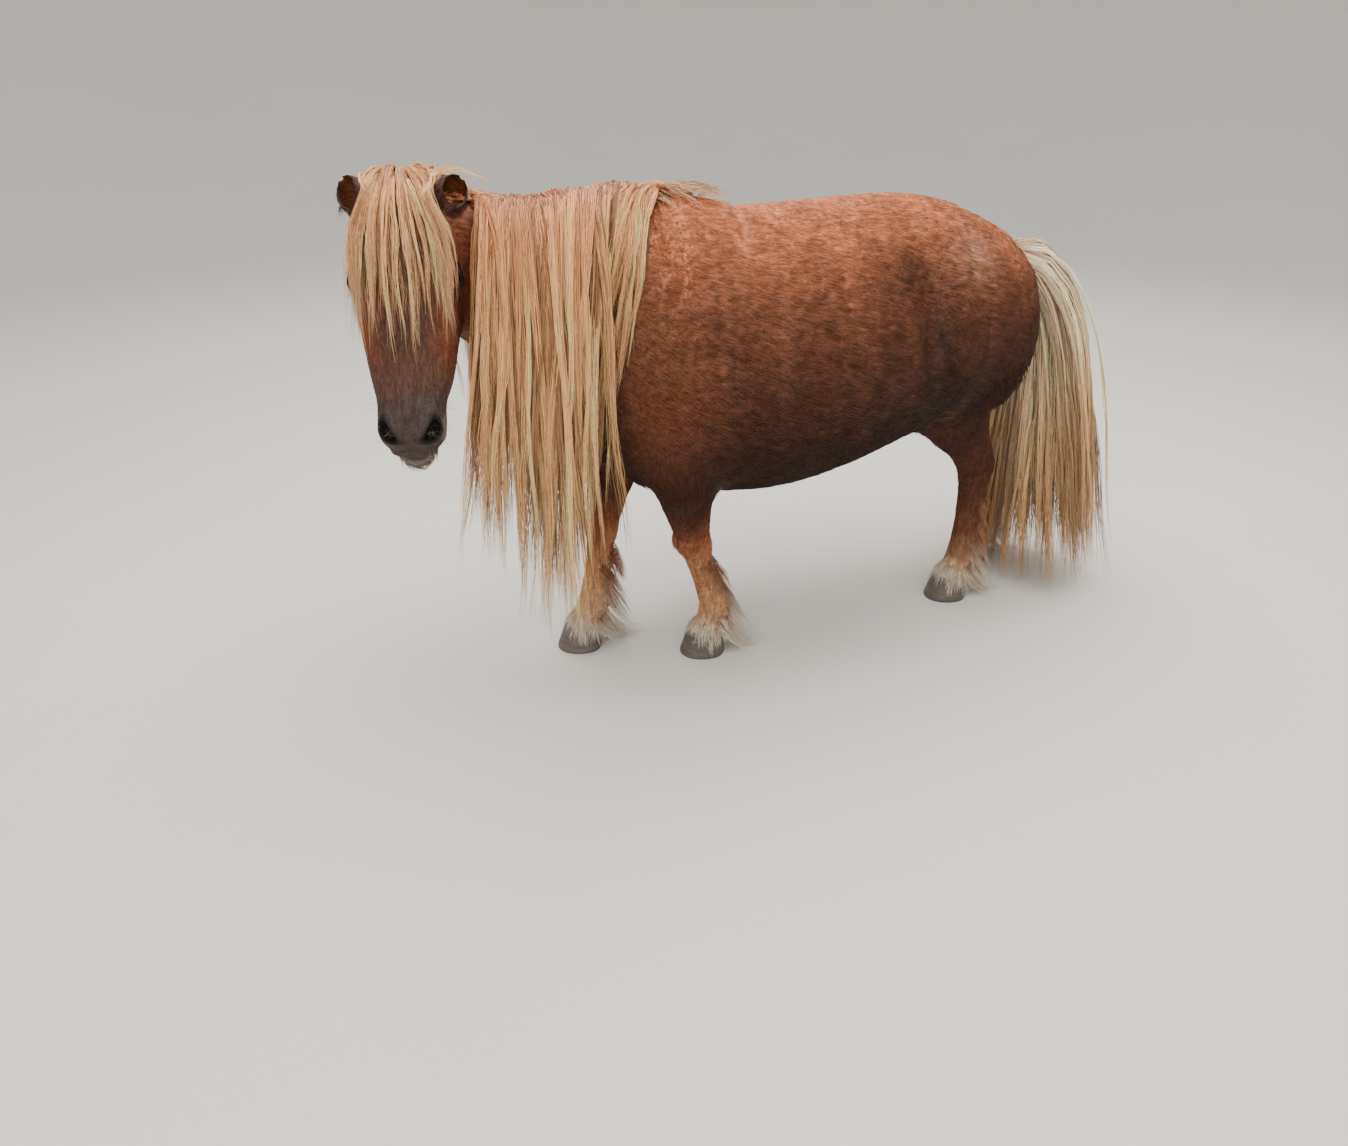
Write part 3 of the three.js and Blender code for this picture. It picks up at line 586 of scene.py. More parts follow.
def flesh(points):
    """How far points are outside the pony's flesh, in mm."""
    d = fused(trunk.outside(points) + COAT, neck.outside(points) + COAT, FILLETS["neck"])
    mirrored = np.stack([-points[:, 1], np.abs(points[:, 0]), points[:, 2]], 1)
    for centre, radii, height in MUSCLES:
        d -= height * swell(mirrored, centre, radii)
    for name, leg in legs.items():
        d = fused(d, leg.outside(points) + LEG_COAT, FILLETS[name[:4]])
    for centre, radii, height in joint_swells:
        d -= height * swell(points, centre, radii)
    d = fused(d, dock.outside(points), FILLETS["dock"])
    near_head = np.abs(points - on_head(190, 0, -60)).max(1) < 330
    if near_head.any():
        d[near_head] = fused(d[near_head], face(points[near_head]), FILLETS["head"])
    return d


def slope(points, step=0.6):
    """How far points are outside the flesh, and the way straight out from it."""
    here = flesh(points)
    ways = [flesh(points + np.eye(3)[axis] * step) - here for axis in range(3)]
    return here, np.stack(ways, 1) / step


# The skin.
# One hide, stretched over all the flesh and the ears with no seam. It is drawn on a grid, made finer where
# the face needs it, and pulled onto the flesh.

GRID = 8.0  # mm
GRID_LOW = np.array([-330, -1010, -24.0])
GRID_HIGH = np.array([440, 740, 1120.0])
LONGEST_EDGE = 14.0
# Fineness: centre on the head, radius in mm, and the length of an edge there
FINE = [
    (on_head(190, 0, -70), 270, 5.2),
    (on_head(385, 0, -55), 78, 2.6),
    (on_head(*EYE_PLACE), 44, 2.2),
    (on_head(*(EYE_PLACE * (1, -1, 1))), 44, 2.2),
    (on_head(*EYE_PLACE), 27, 1.25),
    (on_head(*(EYE_PLACE * (1, -1, 1))), 27, 1.25),
    (on_head(*NOSTRIL_PLACE), 30, 1.8),
    (on_head(*(NOSTRIL_PLACE * (1, -1, 1))), 30, 1.8),
]

axes = [np.arange(lo, hi, GRID) for lo, hi in zip(GRID_LOW, GRID_HIGH)]
block = np.stack(np.meshgrid(*axes, indexing="ij"), -1)
flesh_grid = flesh(block.reshape(-1, 3)).reshape(block.shape[:3]).astype(np.float32)
cells = openvdb.FloatGrid()
cells.copyFromArray(flesh_grid)
cells.transform = openvdb.createLinearTransform(voxelSize=GRID)
points, triangles, quads = cells.convertToPolygons(0.0, 0.0)
points = points.astype(float) + GRID_LOW
triangles = np.concatenate([quads[:, [0, 1, 2]], quads[:, [0, 2, 3]], triangles.reshape(-1, 3)]).astype(int)


def halved(points, triangles, wanted):
    """The mesh with each edge halved that is longer than wanted at its middle."""
    edges = np.sort(triangles[:, [[0, 1], [1, 2], [2, 0]]], axis=2).reshape(-1, 2)
    keys = edges[:, 0] * len(points) + edges[:, 1]
    _, first, back = np.unique(keys, return_index=True, return_inverse=True)
    ends = points[edges[first]]
    middle = ends.mean(1)
    long = np.linalg.norm(ends[:, 1] - ends[:, 0], axis=1) > wanted(middle)
    fresh = np.where(long, np.cumsum(long) - 1 + len(points), -1)
    mids = fresh[back.reshape(-1)].reshape(-1, 3)
    count = (mids >= 0).sum(1)
    made = [triangles[count == 0]]
    for splits in (1, 2, 3):
        tri, mid = triangles[count == splits], mids[count == splits]
        turn = np.argmax(mid >= 0, axis=1) if splits == 1 else (np.argmax(mid < 0, axis=1) + 1) % 3
        order = (turn[:, None] + np.arange(3)) % 3
        a, b, c = np.take_along_axis(tri, order, 1).T
        ab, bc, ca = np.take_along_axis(mid, order, 1).T
        parts = {1: [(a, ab, c), (ab, b, c)],
                 2: [(ab, b, bc), (a, ab, bc), (a, bc, c)],
                 3: [(a, ab, ca), (ab, b, bc), (ca, bc, c), (ab, bc, ca)]}[splits]
        made += [np.stack(part, 1) for part in parts]
    return np.vstack([points, middle[long]]), np.concatenate(made)


def eased(points, triangles, share):
    """Points moved towards the middle of their neighbours."""
    start, end = triangles.ravel(), triangles[:, [1, 2, 0]].ravel()
    count = np.maximum(np.bincount(start, minlength=len(points)), 1)
    sums = [np.bincount(start, weights=points[end, axis], minlength=len(points)) for axis in range(3)]
    return points + share * (np.stack(sums, 1) / count[:, None] - points)


def pulled(points, times):
    """Points pulled onto the surface of the flesh, at most 4 mm at a time."""
    for _ in range(times):
        here, out = slope(points)
        move = here / np.maximum(dot(out, out), 0.2)
        points = points - out * np.clip(move, -4, 4)[:, None]
    return points


def edge_wanted(places):
    """The longest that an edge may be at places, before it is halved."""
    length = np.full(len(places), LONGEST_EDGE)
    for centre, radius, fine in FINE:
        inside = np.linalg.norm(places - centre, axis=1) < radius
        length[inside] = np.minimum(length[inside], fine * 1.45)
    return length


def outward(points, faces):
    """The triangles of a closed shape, turned to face out."""
    a, b, c = (points[faces[:, i]] - points[0] for i in range(3))
    return faces[:, ::-1] if dot(a, np.cross(b, c)).sum() < 0 else faces


points = pulled(eased(points, triangles, 0.4), 2)
for _ in range(4):
    points, triangles = halved(points, triangles, edge_wanted)
    points = eased(points, triangles, 0.35)
    near = edge_wanted(points) < LONGEST_EDGE
    points[near] = pulled(points[near], 1)
points = pulled(eased(points, triangles, 0.3), 2)
triangles = outward(points, triangles)

# The ears are cups of gristle that stand out of the poll behind the forelock, open to the front and side.
EAR_LENGTH = 73
EAR_WALL = 4.5
EAR_ROWS = 15  # of points round its wall, from edge to edge
EAR_ROOT = np.array([27, 54, -26.0])
# Share of the length, radius, and degrees that the wall runs round from the middle of the back
EAR_PROFILE = np.array([
    [-0.2, 21, 176], [0, 22, 170], [0.22, 28, 152], [0.45, 33, 130],
    [0.7, 31, 114], [0.9, 20, 106], [1, 7, 98],
], float)


def ear_axes(side):
    """The ways, on the head, that an ear points, that it opens, and across it."""
    axis = unit(np.array([-0.78, side * 0.55, -0.1]))
    opens = np.array([0, side * 0.65, 0.75])
    opens = unit(opens - axis * dot(opens, axis))
    return axis, opens, np.cross(axis, opens)


def from_ear(points, side):
    """Places on the head, counted from the root of an ear."""
    return (points - POLL) @ HEAD_AXES.T - EAR_ROOT * (1, side, 1)


def ear(side):
    """The points and triangles of an ear."""
    axis, opens, across = ear_axes(side)
    heights = np.concatenate([[-0.2, -0.1], np.linspace(0, 1, 19) ** 0.85])
    radius, reach = (np.interp(heights, EAR_PROFILE[:, 0], EAR_PROFILE[:, i]) for i in (1, 2))
    root = on_head(*(EAR_ROOT * (1, side, 1)))
    rings = []
    for height, r, turn in zip(heights, radius, np.radians(reach)):
        wall = np.clip(EAR_WALL * (1.4 - height), 1.2, r * 0.6)
        tips = np.linspace(-1, 1, EAR_ROWS)
        for rr in (r, r - wall):
            angle = tips * turn * (1 if rr == r else 0.985)
            curl = 0.06 * height**3 * EAR_LENGTH
            local = (axis * height * EAR_LENGTH + opens * curl
                     - np.outer(np.cos(angle) * rr, opens) + np.outer(np.sin(angle) * rr * 0.85, across))
            rings.append(root + local @ HEAD_AXES)
    rings = np.array(rings).reshape(len(heights), 2, EAR_ROWS, 3)
    loop = np.concatenate([rings[:, 0], rings[:, 1, ::-1]], axis=1)
    count = 2 * EAR_ROWS
    row = np.arange(count)
    ahead = np.roll(row, -1)
    faces = []
    for i in range(len(heights) - 1):
        a, b = i * count, (i + 1) * count
        faces += [np.stack([a + row, a + ahead, b + ahead], 1), np.stack([a + row, b + ahead, b + row], 1)]
    j = np.arange(EAR_ROWS - 1)
    for i, turn in ((0, 1), (len(heights) - 1, -1)):
        a = i * count
        ends = [np.stack([a + j, a + count - 2 - j, a + j + 1], 1),
                np.stack([a + j, a + count - 1 - j, a + count - 2 - j], 1)]
        faces += [end[:, ::turn] for end in ends]
    return loop.reshape(-1, 3), np.concatenate(faces)


coat_skin, tree, shader = finish_of("short_coat_hide", {"Roughness": 0.62, "Specular IOR Level": 0.2})
hide = mesh_of("skin", framed(points), triangles, coat_skin)
for side in (1, -1):
    ear_points, ear_faces = ear(side)
    flap = mesh_of("ear", framed(ear_points), outward(ear_points, ear_faces), coat_skin)
    join = hide.modifiers.new("join", "BOOLEAN")
    join.operation = "UNION"
    join.solver = "MANIFOLD"
    join.object = flap
    joined = bpy.data.meshes.new_from_object(hide.evaluated_get(bpy.context.evaluated_depsgraph_get()))
    hide.modifiers.remove(join)
    hide.data = joined
    bpy.data.objects.remove(flap)
joined.polygons.foreach_set("use_smooth", np.full(len(joined.polygons), True))
joined.name = "skin"

# Colours of the coat, laid on skin and hair alike. The trunk runs from a paler back to a darker belly, its
# own colour, and the low flank and belly are darker still as painted shade
BACK, UPPER, FLANK, LOW, UNDER = "c2774f", "7f4d36", "543122", "341d13", "24140c"
# The neck's side, and the colour of the painted shade in the hollows of the haunch, flank and elbow
NECK_SIDE, HOLLOW_SHADE = "8a563a", "2e201a"
FOREARM, CANNON, HEEL, CORONET = "93573a", "bd8a62", "c9a07a", "d9c8b2"
HIND_CANNON, GASKIN = "6e4630", "4f2e1f"
FOREHEAD, CHEEK, NOSE, MUZZLE, CHIN = "683f2b", "733b23", "553a2e", "433733", "857b72"
EAR_DARK, EAR_INSIDE, RIM_DARK = "64381f", "2a1812", "140e0c"
# A painted highlight high on the rump, and the shoulder's colour
RUMP_HIGHLIGHT, SHOULDER_RED = "c08f76", "7d4a30"
# Painted shade in the hollows and grooves of haunch, flank and elbow, and a painted highlight down the front
# of the thigh where the share is below 0: (forward, left, up), radii of each, and by how much
PAINTED_SHADING = [
    ((-112, 200, 800), (70, 120, 62), 0.55),
    ((-172, 215, 650), (44, 120, 120), 0.55),
    ((-215, 190, 500), (90, 120, 85), 0.8),
    ((250, 150, 440), (60, 120, 60), 0.25),
    ((-300, 200, 600), (75, 120, 120), 0.2),
    ((-385, 200, 640), (24, 120, 110), 0.2),
    ((-232, 215, 690), (14, 120, 90), -0.5),
]
# Stops along the middle of the face, in mm from the poll
FACE_TONES = [(0, CHEEK), (120, FOREHEAD), (230, NOSE), (305, NOSE), (346, MUZZLE)]


def ramp(values, stops):
    """Colours between (value, sRGB hex) stops."""
    at_values = [s[0] for s in stops]
    colours = np.array([linear(s[1]) for s in stops])
    return np.stack([np.interp(values, at_values, colours[:, i]) for i in range(3)], 1)


def ripple(points, wave, seed):
    """A soft, uneven pattern between -1 and 1, about wave mm across."""
    rng = np.random.default_rng(seed)
    total = np.zeros(len(points))
    for _ in range(6):
        way = unit(rng.normal(size=3)) * rng.uniform(0.7, 1.5) * 2 * math.pi / wave
        total += np.sin(points @ way + rng.uniform(0, 2 * math.pi))
    return total / 3.2


def mixed(colours, other, share):
    """Colours turned by a share towards an sRGB hex colour."""
    return between(colours, linear(other), np.clip(share, 0, 1)[:, None])


def markings(points):
    """The coat's colour at places on the pony, linear, with painted shade and highlights over its muscles and
    belly.
    """
    body = np.minimum(trunk.outside(points), 90)
    wobble = ripple(points, 130, 3) * 0.07 + ripple(points, 45, 4) * 0.035
    _, row = trunk.beside(points)
    up = points[:, 2] - row[:, 2]
    level = up / np.where(up > 0, row[:, FORE], row[:, AFT]) + wobble
    # From the back down to the belly: the coat's own colour, with painted shade darkening the low flank and
    # the belly
    colours = ramp(level, [(-0.95, UNDER), (-0.5, LOW), (0.05, FLANK), (0.5, UPPER), (0.96, BACK)])
    place = np.stack([-points[:, 1], np.abs(points[:, 0]), points[:, 2]], 1)
    # Painted shade in the hollows and grooves, and a painted highlight down the front of the thigh
    dark = sum(share * swell(place, centre, radii) for centre, radii, share in PAINTED_SHADING)
    colours = mixed(colours, HOLLOW_SHADE, dark * (1 + 0.3 * ripple(points, 60, 5)))
    # A painted highlight high on the rump, where the light from above falls
    colours = mixed(colours, RUMP_HIGHLIGHT, 0.5 * swell(place, (-265, 170, 825), (55, 120, 50)))
    colours = mixed(colours, SHOULDER_RED, 0.65 * swell(place, (385, 200, 620), (85, 140, 170)))
    on_neck = np.clip((body - neck.outside(points)) / 50 + 0.3, 0, 1)
    colours = mixed(colours, NECK_SIDE, on_neck)
    for name, leg in legs.items():
        close = leg.outside(points) < 30
        if not close.any():
            continue
        station, turn, _, _ = leg.polar(points[close])
        above = leg.last - station + 0.35 * wobble[close] * 10
        top, cannon, upper = (8, CANNON, FOREARM) if name[:4] == "fore" else (8.5, HIND_CANNON, GASKIN)
        behind = np.clip(-np.sin(turn), 0, 1)
        tone = ramp(above - 0.9 * behind, [
            (-0.2, CORONET), (0.3, CORONET), (1.3, HEEL), (2.8, cannon), (5.0, upper), (7.0, FLANK)])
        weight = np.clip((top - above) / 1.6, 0, 1) * np.clip((30 - leg.outside(points[close])) / 20, 0, 1)
        colours[close] = between(colours[close], tone, weight[:, None])
    h, mirrored = head_places(points)
    on_face = np.clip(1.6 - (skull.outside(points) + 2) / 25, 0, 1)
    near = on_face > 0
    h, mirrored, uneven = h[near], mirrored[near], wobble[near]
    side = np.clip((mirrored[:, 1] - 25) / 35 - (h[:, 2] + 20) / 60, 0, 1)
    tone = ramp(h[:, 0] + 140 * uneven, FACE_TONES)
    tone = mixed(tone, CHEEK, side * np.clip((300 - h[:, 0]) / 50, 0, 1) * 0.8)
    chin = np.clip((h[:, 0] - 345) / 30, 0, 1) * np.clip((-70 - h[:, 2]) / 14, 0, 1)
    pale = np.clip((mirrored[:, 1] - 46) / 8, 0, 1) * np.clip((h[:, 0] - 352) / 24, 0, 1) * (h[:, 2] < -22)
    tone = mixed(tone, CHIN, np.maximum(chin, 0.6 * pale))
    a, b, out = nostril_local(mirrored)
    ring = np.hypot(a / NOSTRIL_LONG, b / NOSTRIL_WIDE)
    tone = mixed(tone, RIM_DARK, np.clip((1.7 - ring) / 0.5, 0, 1) * (np.abs(out) < 30))
    shut, far, _ = lid_gap(mirrored - EYE_PLACE)
    tone = mixed(tone, RIM_DARK, np.clip((4.5 - shut) / 3, 0, 1) * (far < 32))
    over, _ = lip_places(h)
    tone = mixed(tone, RIM_DARK, 0.8 * np.exp(-(over / 2.2) ** 2) * (h[:, 0] > 340))
    colours[near] = between(colours[near], tone, on_face[near][:, None])
    for side in (1, -1):
        axis, opens, _ = ear_axes(side)
        local = from_ear(points, side)
        height = dot(local, axis)
        in_ear = (height > 4) & (np.linalg.norm(local - axis * height[:, None], axis=1) < 36) & (height < 95)
        inner = np.clip((dot(local, opens) + 12) / 20, 0, 1)[in_ear]
        colours[in_ear] = mixed(colours[in_ear], EAR_DARK, np.clip((height[in_ear] - 4) / 14, 0, 1))
        colours[in_ear] = mixed(colours[in_ear], EAR_INSIDE, 0.75 * inner)
    return np.clip(colours * (1 + 0.5 * wobble[:, None]), 0.003, 0.95)


def lie(points):
    """The way that short hair lies at places on the pony: back and down, down the legs and down the face."""
    nearness = [np.exp(-np.clip(limb.outside(points), -20, 80) / 14) for limb in (trunk, neck, skull)]
    level = np.clip((points[:, 2] - 620) / 300, -1, 1)[:, None]
    level = level - 0.5 * ripple(points, 110, 8)[:, None]
    ways = [-FORWARD * (1 - 0.25 * level) + DOWN * (0.42 + 0.2 * level),
            np.broadcast_to(-FORWARD * 0.75 + DOWN * 0.6, points.shape),
            np.broadcast_to(head_down - 0.12 * head_out, points.shape)]
    total = sum(way * weight[:, None] for way, weight in zip(ways, nearness))
    for leg in legs.values():
        near = np.exp(-np.clip(leg.outside(points), -20, 80) / 14)
        _, row = leg.beside(points)
        total = total + row[:, ALONG] * near[:, None] * 1.3
    return unit(total)


def paint(mesh, name, colours):
    """A colour for each point of a mesh."""
    layer = mesh.attributes.new(name, "FLOAT_COLOR", "POINT")
    opaque = np.hstack([colours, np.ones((len(colours), 1))])
    layer.data.foreach_set("color", opaque.astype(np.float32).ravel())


def weigh(mesh, name, values, kind="FLOAT"):
    """A number or vector for each point of a mesh."""
    layer = mesh.attributes.new(name, kind, "POINT")
    field = "vector" if kind == "FLOAT_VECTOR" else "value"
    layer.data.foreach_set(field, np.asarray(values, np.float32).ravel())


def points_of(mesh):
    """The points of a mesh in the frame, in the pony's millimetres."""
    found = np.empty(len(mesh.vertices) * 3, np.float32)
    mesh.vertices.foreach_get("co", found)
    return found.reshape(-1, 3).astype(float) / MM - (0, SLIDE, 0)


skin_points = points_of(joined)
near_legs = np.max([
    np.exp(-np.clip(leg.outside(skin_points) + 4, 0, 80) / 15) for leg in legs.values()], axis=0)
near_skull = np.exp(-np.clip(skull.outside(skin_points) + 3, 0, 80) / 12)
paint(joined, "coat", markings(skin_points))
weigh(joined, "on_leg", near_legs * np.clip((560 - skin_points[:, 2]) / 120, 0, 1))
weigh(joined, "on_head", near_skull)

# Short horse hair lies flat in fine streaks along its lie. It is matt, and its colour is darker between the
# streaks and in the troughs of its waves: partly the hair's own tone, partly painted shade over the bump
HAIR_STREAK = (42, 3.2)  # mm along and across a streak, drawn coarser than single hairs so that it shows
COAT_RIPPLE = (30, 9)  # mm, of the small waves that the coat dries in
LEG_STREAK, LEG_RIPPLE = (26, 2.4), (40, 7)
FACE_STREAK, FACE_RIPPLE = (14, 1.4), (22, 6)


def streaks(tree, coordinates, way, streak):
    """Noise drawn out along a direction of the pony's."""
    turn = Vector(way).to_track_quat("X", "Z").inverted().to_euler()
    length, width = streak
    scale = (1 / (length * MM), 1 / (width * MM), 1 / (width * MM))
    place = add(tree, "ShaderNodeMapping", {"Vector": coordinates, "Rotation": turn}, vector_type="POINT")
    sized = add(tree, "ShaderNodeVectorMath", {0: place.outputs[0], 1: scale}, operation="MULTIPLY")
    return add(tree, "ShaderNodeTexNoise", {
        "Vector": sized.outputs[0], "Scale": 1.0, "Detail": 3.0, "Roughness": 0.62, "Distortion": 0.35,
    }).outputs["Fac"]


def blended(tree, low, high, factor):
    """One value turning into another with a factor."""
    return add(tree, "ShaderNodeMix", {"Factor": factor, 2: low, 3: high}, data_type="FLOAT").outputs[0]


def coat_pattern(tree):
    """The streaks and the waves of the short coat, following its lie on body, legs and head."""
    coordinates = add(tree, "ShaderNodeTexCoord").outputs["Object"]
    on_leg = add(tree, "ShaderNodeAttribute", attribute_name="on_leg").outputs["Fac"]
    on_head = add(tree, "ShaderNodeAttribute", attribute_name="on_head").outputs["Fac"]
    found = []
    for body, leg, head in ((HAIR_STREAK, LEG_STREAK, FACE_STREAK), (COAT_RIPPLE, LEG_RIPPLE, FACE_RIPPLE)):
        along_body = streaks(tree, coordinates, -FORWARD + DOWN * 0.3, body)
        down_leg = streaks(tree, coordinates, DOWN, leg)
        down_face = streaks(tree, coordinates, head_down, head)
        found.append(blended(tree, blended(tree, along_body, down_leg, on_leg), down_face, on_head))
    return found


def tinted(tree, fur, waves, fur_range, wave_range):
    """The coat's colour, lighter and darker with its streaks and waves: partly the hair's own tone, partly
    painted shade in their hollows.
    """
    coat_colour = add(tree, "ShaderNodeAttribute", attribute_name="coat")
    tones = [add(tree, "ShaderNodeMapRange", {
        "Value": value, "From Min": 0.34, "From Max": 0.66, "To Min": low, "To Max": high}).outputs[0]
        for value, (low, high) in ((fur, fur_range), (waves, wave_range))]
    both = add(tree, "ShaderNodeMath", {0: tones[0], 1: tones[1]}, operation="MULTIPLY")
    return add(tree, "ShaderNodeVectorMath", {0: coat_colour.outputs["Color"], 1: both.outputs[0]},
               operation="MULTIPLY").outputs[0]


fur, waves = coat_pattern(tree)
tree.links.new(tinted(tree, fur, waves, (0.5, 1.25), (0.68, 1.3)), shader.inputs["Base Color"])
swells = add(tree, "ShaderNodeBump", {"Height": waves, "Strength": 0.8, "Distance": 0.005})
bump = add(tree, "ShaderNodeBump", {
    "Height": fur, "Strength": 0.7, "Distance": 0.0022, "Normal": swells.outputs[0]})
tree.links.new(bump.outputs[0], shader.inputs["Normal"])

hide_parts("head", "ear_left", "ear_right", "neck", "torso",
            *[f"{name}_{part}" for name in legs for part in ("leg", "foot")])
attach(hide, "root")

# The eyes.
# Each is a ball of dark glass set under the lids, with a brown iris and a level pupil, wet all over.
EYE_SIDES = 56
PUPIL = (7.0, 3.4)  # mm along and across the pupil, half widths
IRIS = 11.5  # mm, its radius
SIDES = {"left": 1, "right": -1}
PUPIL_DARK, IRIS_DARK, IRIS_PALE, EYE_RIM = "050608", "24120a", "5a3218", "17100d"

eye_glass, tree, shader = finish_of("wet_eye_glass", {
    "Roughness": 0.16, "IOR": 1.38, "Specular IOR Level": 0.3, "Coat Weight": 0.25, "Coat Roughness": 0.02})
eye_map = add(tree, "ShaderNodeUVMap", uv_map="looks")
spread = add(tree, "ShaderNodeVectorMath", {0: eye_map.outputs[0], 1: (0.5, 0.5, 0)}, operation="SUBTRACT")
pupil_space = add(tree, "ShaderNodeVectorMath", {
    0: spread.outputs[0], 1: (2 * EYE_RADIUS / PUPIL[0], 2 * EYE_RADIUS / PUPIL[1], 0)}, operation="MULTIPLY")
in_pupil = add(tree, "ShaderNodeVectorMath", {0: pupil_space.outputs[0]}, operation="LENGTH")
iris_space = add(tree, "ShaderNodeVectorMath", {
    0: spread.outputs[0], "Scale": 2 * EYE_RADIUS / IRIS}, operation="SCALE")
in_iris = add(tree, "ShaderNodeVectorMath", {0: iris_space.outputs[0]}, operation="LENGTH")
fibres = add(tree, "ShaderNodeTexNoise", {"Vector": spread.outputs[0], "Scale": 26.0, "Detail": 4.0})
iris_ramp = add(tree, "ShaderNodeValToRGB", {"Fac": fibres.outputs["Fac"]})
iris_ramp.color_ramp.elements[0].color = (*linear(IRIS_DARK), 1)
iris_ramp.color_ramp.elements[1].color = (*linear(IRIS_PALE), 1)
pupil_edge = add(tree, "ShaderNodeMapRange", {
    "Value": in_pupil.outputs["Value"], "From Min": 0.92, "From Max": 1.08})
dark_pupil = add(tree, "ShaderNodeMix", {
    "Factor": pupil_edge.outputs[0], 6: (*linear(PUPIL_DARK), 1), 7: iris_ramp.outputs[0]}, data_type="RGBA")
iris_edge = add(tree, "ShaderNodeMapRange", {
    "Value": in_iris.outputs["Value"], "From Min": 0.86, "From Max": 1.1})
whole_eye = add(tree, "ShaderNodeMix", {
    "Factor": iris_edge.outputs[0], 6: dark_pupil.outputs[2], 7: (*linear(EYE_RIM), 1)}, data_type="RGBA")
tree.links.new(whole_eye.outputs[2], shader.inputs["Base Color"])


def walls_round(sides, rings, first=0):
    """The triangles between neighbouring rings of points, the first of which starts at point first."""
    row = np.arange(sides)
    ahead = np.roll(row, -1)
    walls = []
    for a in range(first, first + (rings - 1) * sides, sides):
        b = a + sides
        walls += [np.stack([a + row, b + row, b + ahead], 1), np.stack([a + row, b + ahead, a + ahead], 1)]
    return walls


for name, side in SIDES.items():
    flip = np.array([1, side, 1])
    centre = EYE_PLACE * flip
    looks, rise = EYE_LOOKS * flip, EYE_RISE * flip
    corner = np.array([1, 0, 0.0])
    steps = EYE_SIDES // 2
    polar = np.linspace(0, math.pi, steps + 1)[1:-1]
    around = np.linspace(0, 2 * math.pi, EYE_SIDES, endpoint=False)
    bulge = 1 + 0.035 * np.exp(-(polar / 0.55) ** 2)  # of the cornea
    local = np.stack([np.outer(np.sin(polar), np.cos(around)), np.outer(np.sin(polar), np.sin(around)),
                      np.outer(np.cos(polar), np.ones_like(around))], 2) * bulge[:, None, None]
    local = np.vstack([[0, 0, bulge[0]], local.reshape(-1, 3), [0, 0, -1]]) * (EYE_RADIUS - 0.3)
    places = POLL + (centre + local @ np.stack([corner, rise, looks])) @ HEAD_AXES
    row = np.arange(EYE_SIDES)
    ahead = np.roll(row, -1)
    last = 1 + (steps - 2) * EYE_SIDES
    faces = outward(places, np.concatenate([
        np.stack([0 * row, 1 + row, 1 + ahead], 1),
        *walls_round(EYE_SIDES, steps - 1, 1),
        np.stack([last + row, 0 * row + len(places) - 1, last + ahead], 1)]))
    eye = mesh_of(f"eye_ball_{name}", framed(places), faces, eye_glass)
    seen = eye.data.uv_layers.new(name="looks")
    spots = local[faces.ravel(), :2] / (2 * EYE_RADIUS) + 0.5
    seen.data.foreach_set("uv", spots.astype(np.float32).ravel())
    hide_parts(f"eye_{name}")
    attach(eye, "root")

# The hooves.
# Each is a case of grey horn that grows down from the coronet in faint rings, flat and a little worn below.
SOLE = dict(wide=49, toe=60, heel=40)
HOOF_SIDES = 64
HOOF_LEVELS = 22
HORN, HORN_PALE, HORN_DARK = "544d48", "70675e", "362f2b"

horn, tree, shader = finish_of("grey_hoof_horn", {"Roughness": 0.55})
coordinates = add(tree, "ShaderNodeTexCoord").outputs["Object"]
tubules = add(tree, "ShaderNodeMapping", {"Vector": coordinates, "Scale": (700, 700, 30)})
tubule_noise = add(tree, "ShaderNodeTexNoise", {"Vector": tubules.outputs[0], "Scale": 1.0, "Detail": 3.0})
growth = add(tree, "ShaderNodeMapping", {"Vector": coordinates, "Scale": (14, 14, 190)})
growth_noise = add(tree, "ShaderNodeTexNoise", {"Vector": growth.outputs[0], "Scale": 1.0, "Detail": 2.0})
horn_mix = add(tree, "ShaderNodeMath", {
    0: tubule_noise.outputs["Fac"], 1: growth_noise.outputs["Fac"]}, operation="ADD")
horn_ramp = add(tree, "ShaderNodeValToRGB", {"Fac": add(
    tree, "ShaderNodeMapRange", {"Value": horn_mix.outputs[0], "From Min": 0.6, "From Max": 1.4}).outputs[0]})
horn_ramp.color_ramp.elements[0].color = (*linear(HORN_DARK), 1)
horn_ramp.color_ramp.elements[1].color = (*linear(HORN_PALE), 1)
horn_ramp.color_ramp.elements.new(0.5).color = (*linear(HORN), 1)
horn_bump = add(tree, "ShaderNodeBump", {"Height": horn_mix.outputs[0], "Strength": 0.5, "Distance": 0.001})
tree.links.new(horn_ramp.outputs[0], shader.inputs["Base Color"])
tree.links.new(horn_bump.outputs[0], shader.inputs["Normal"])

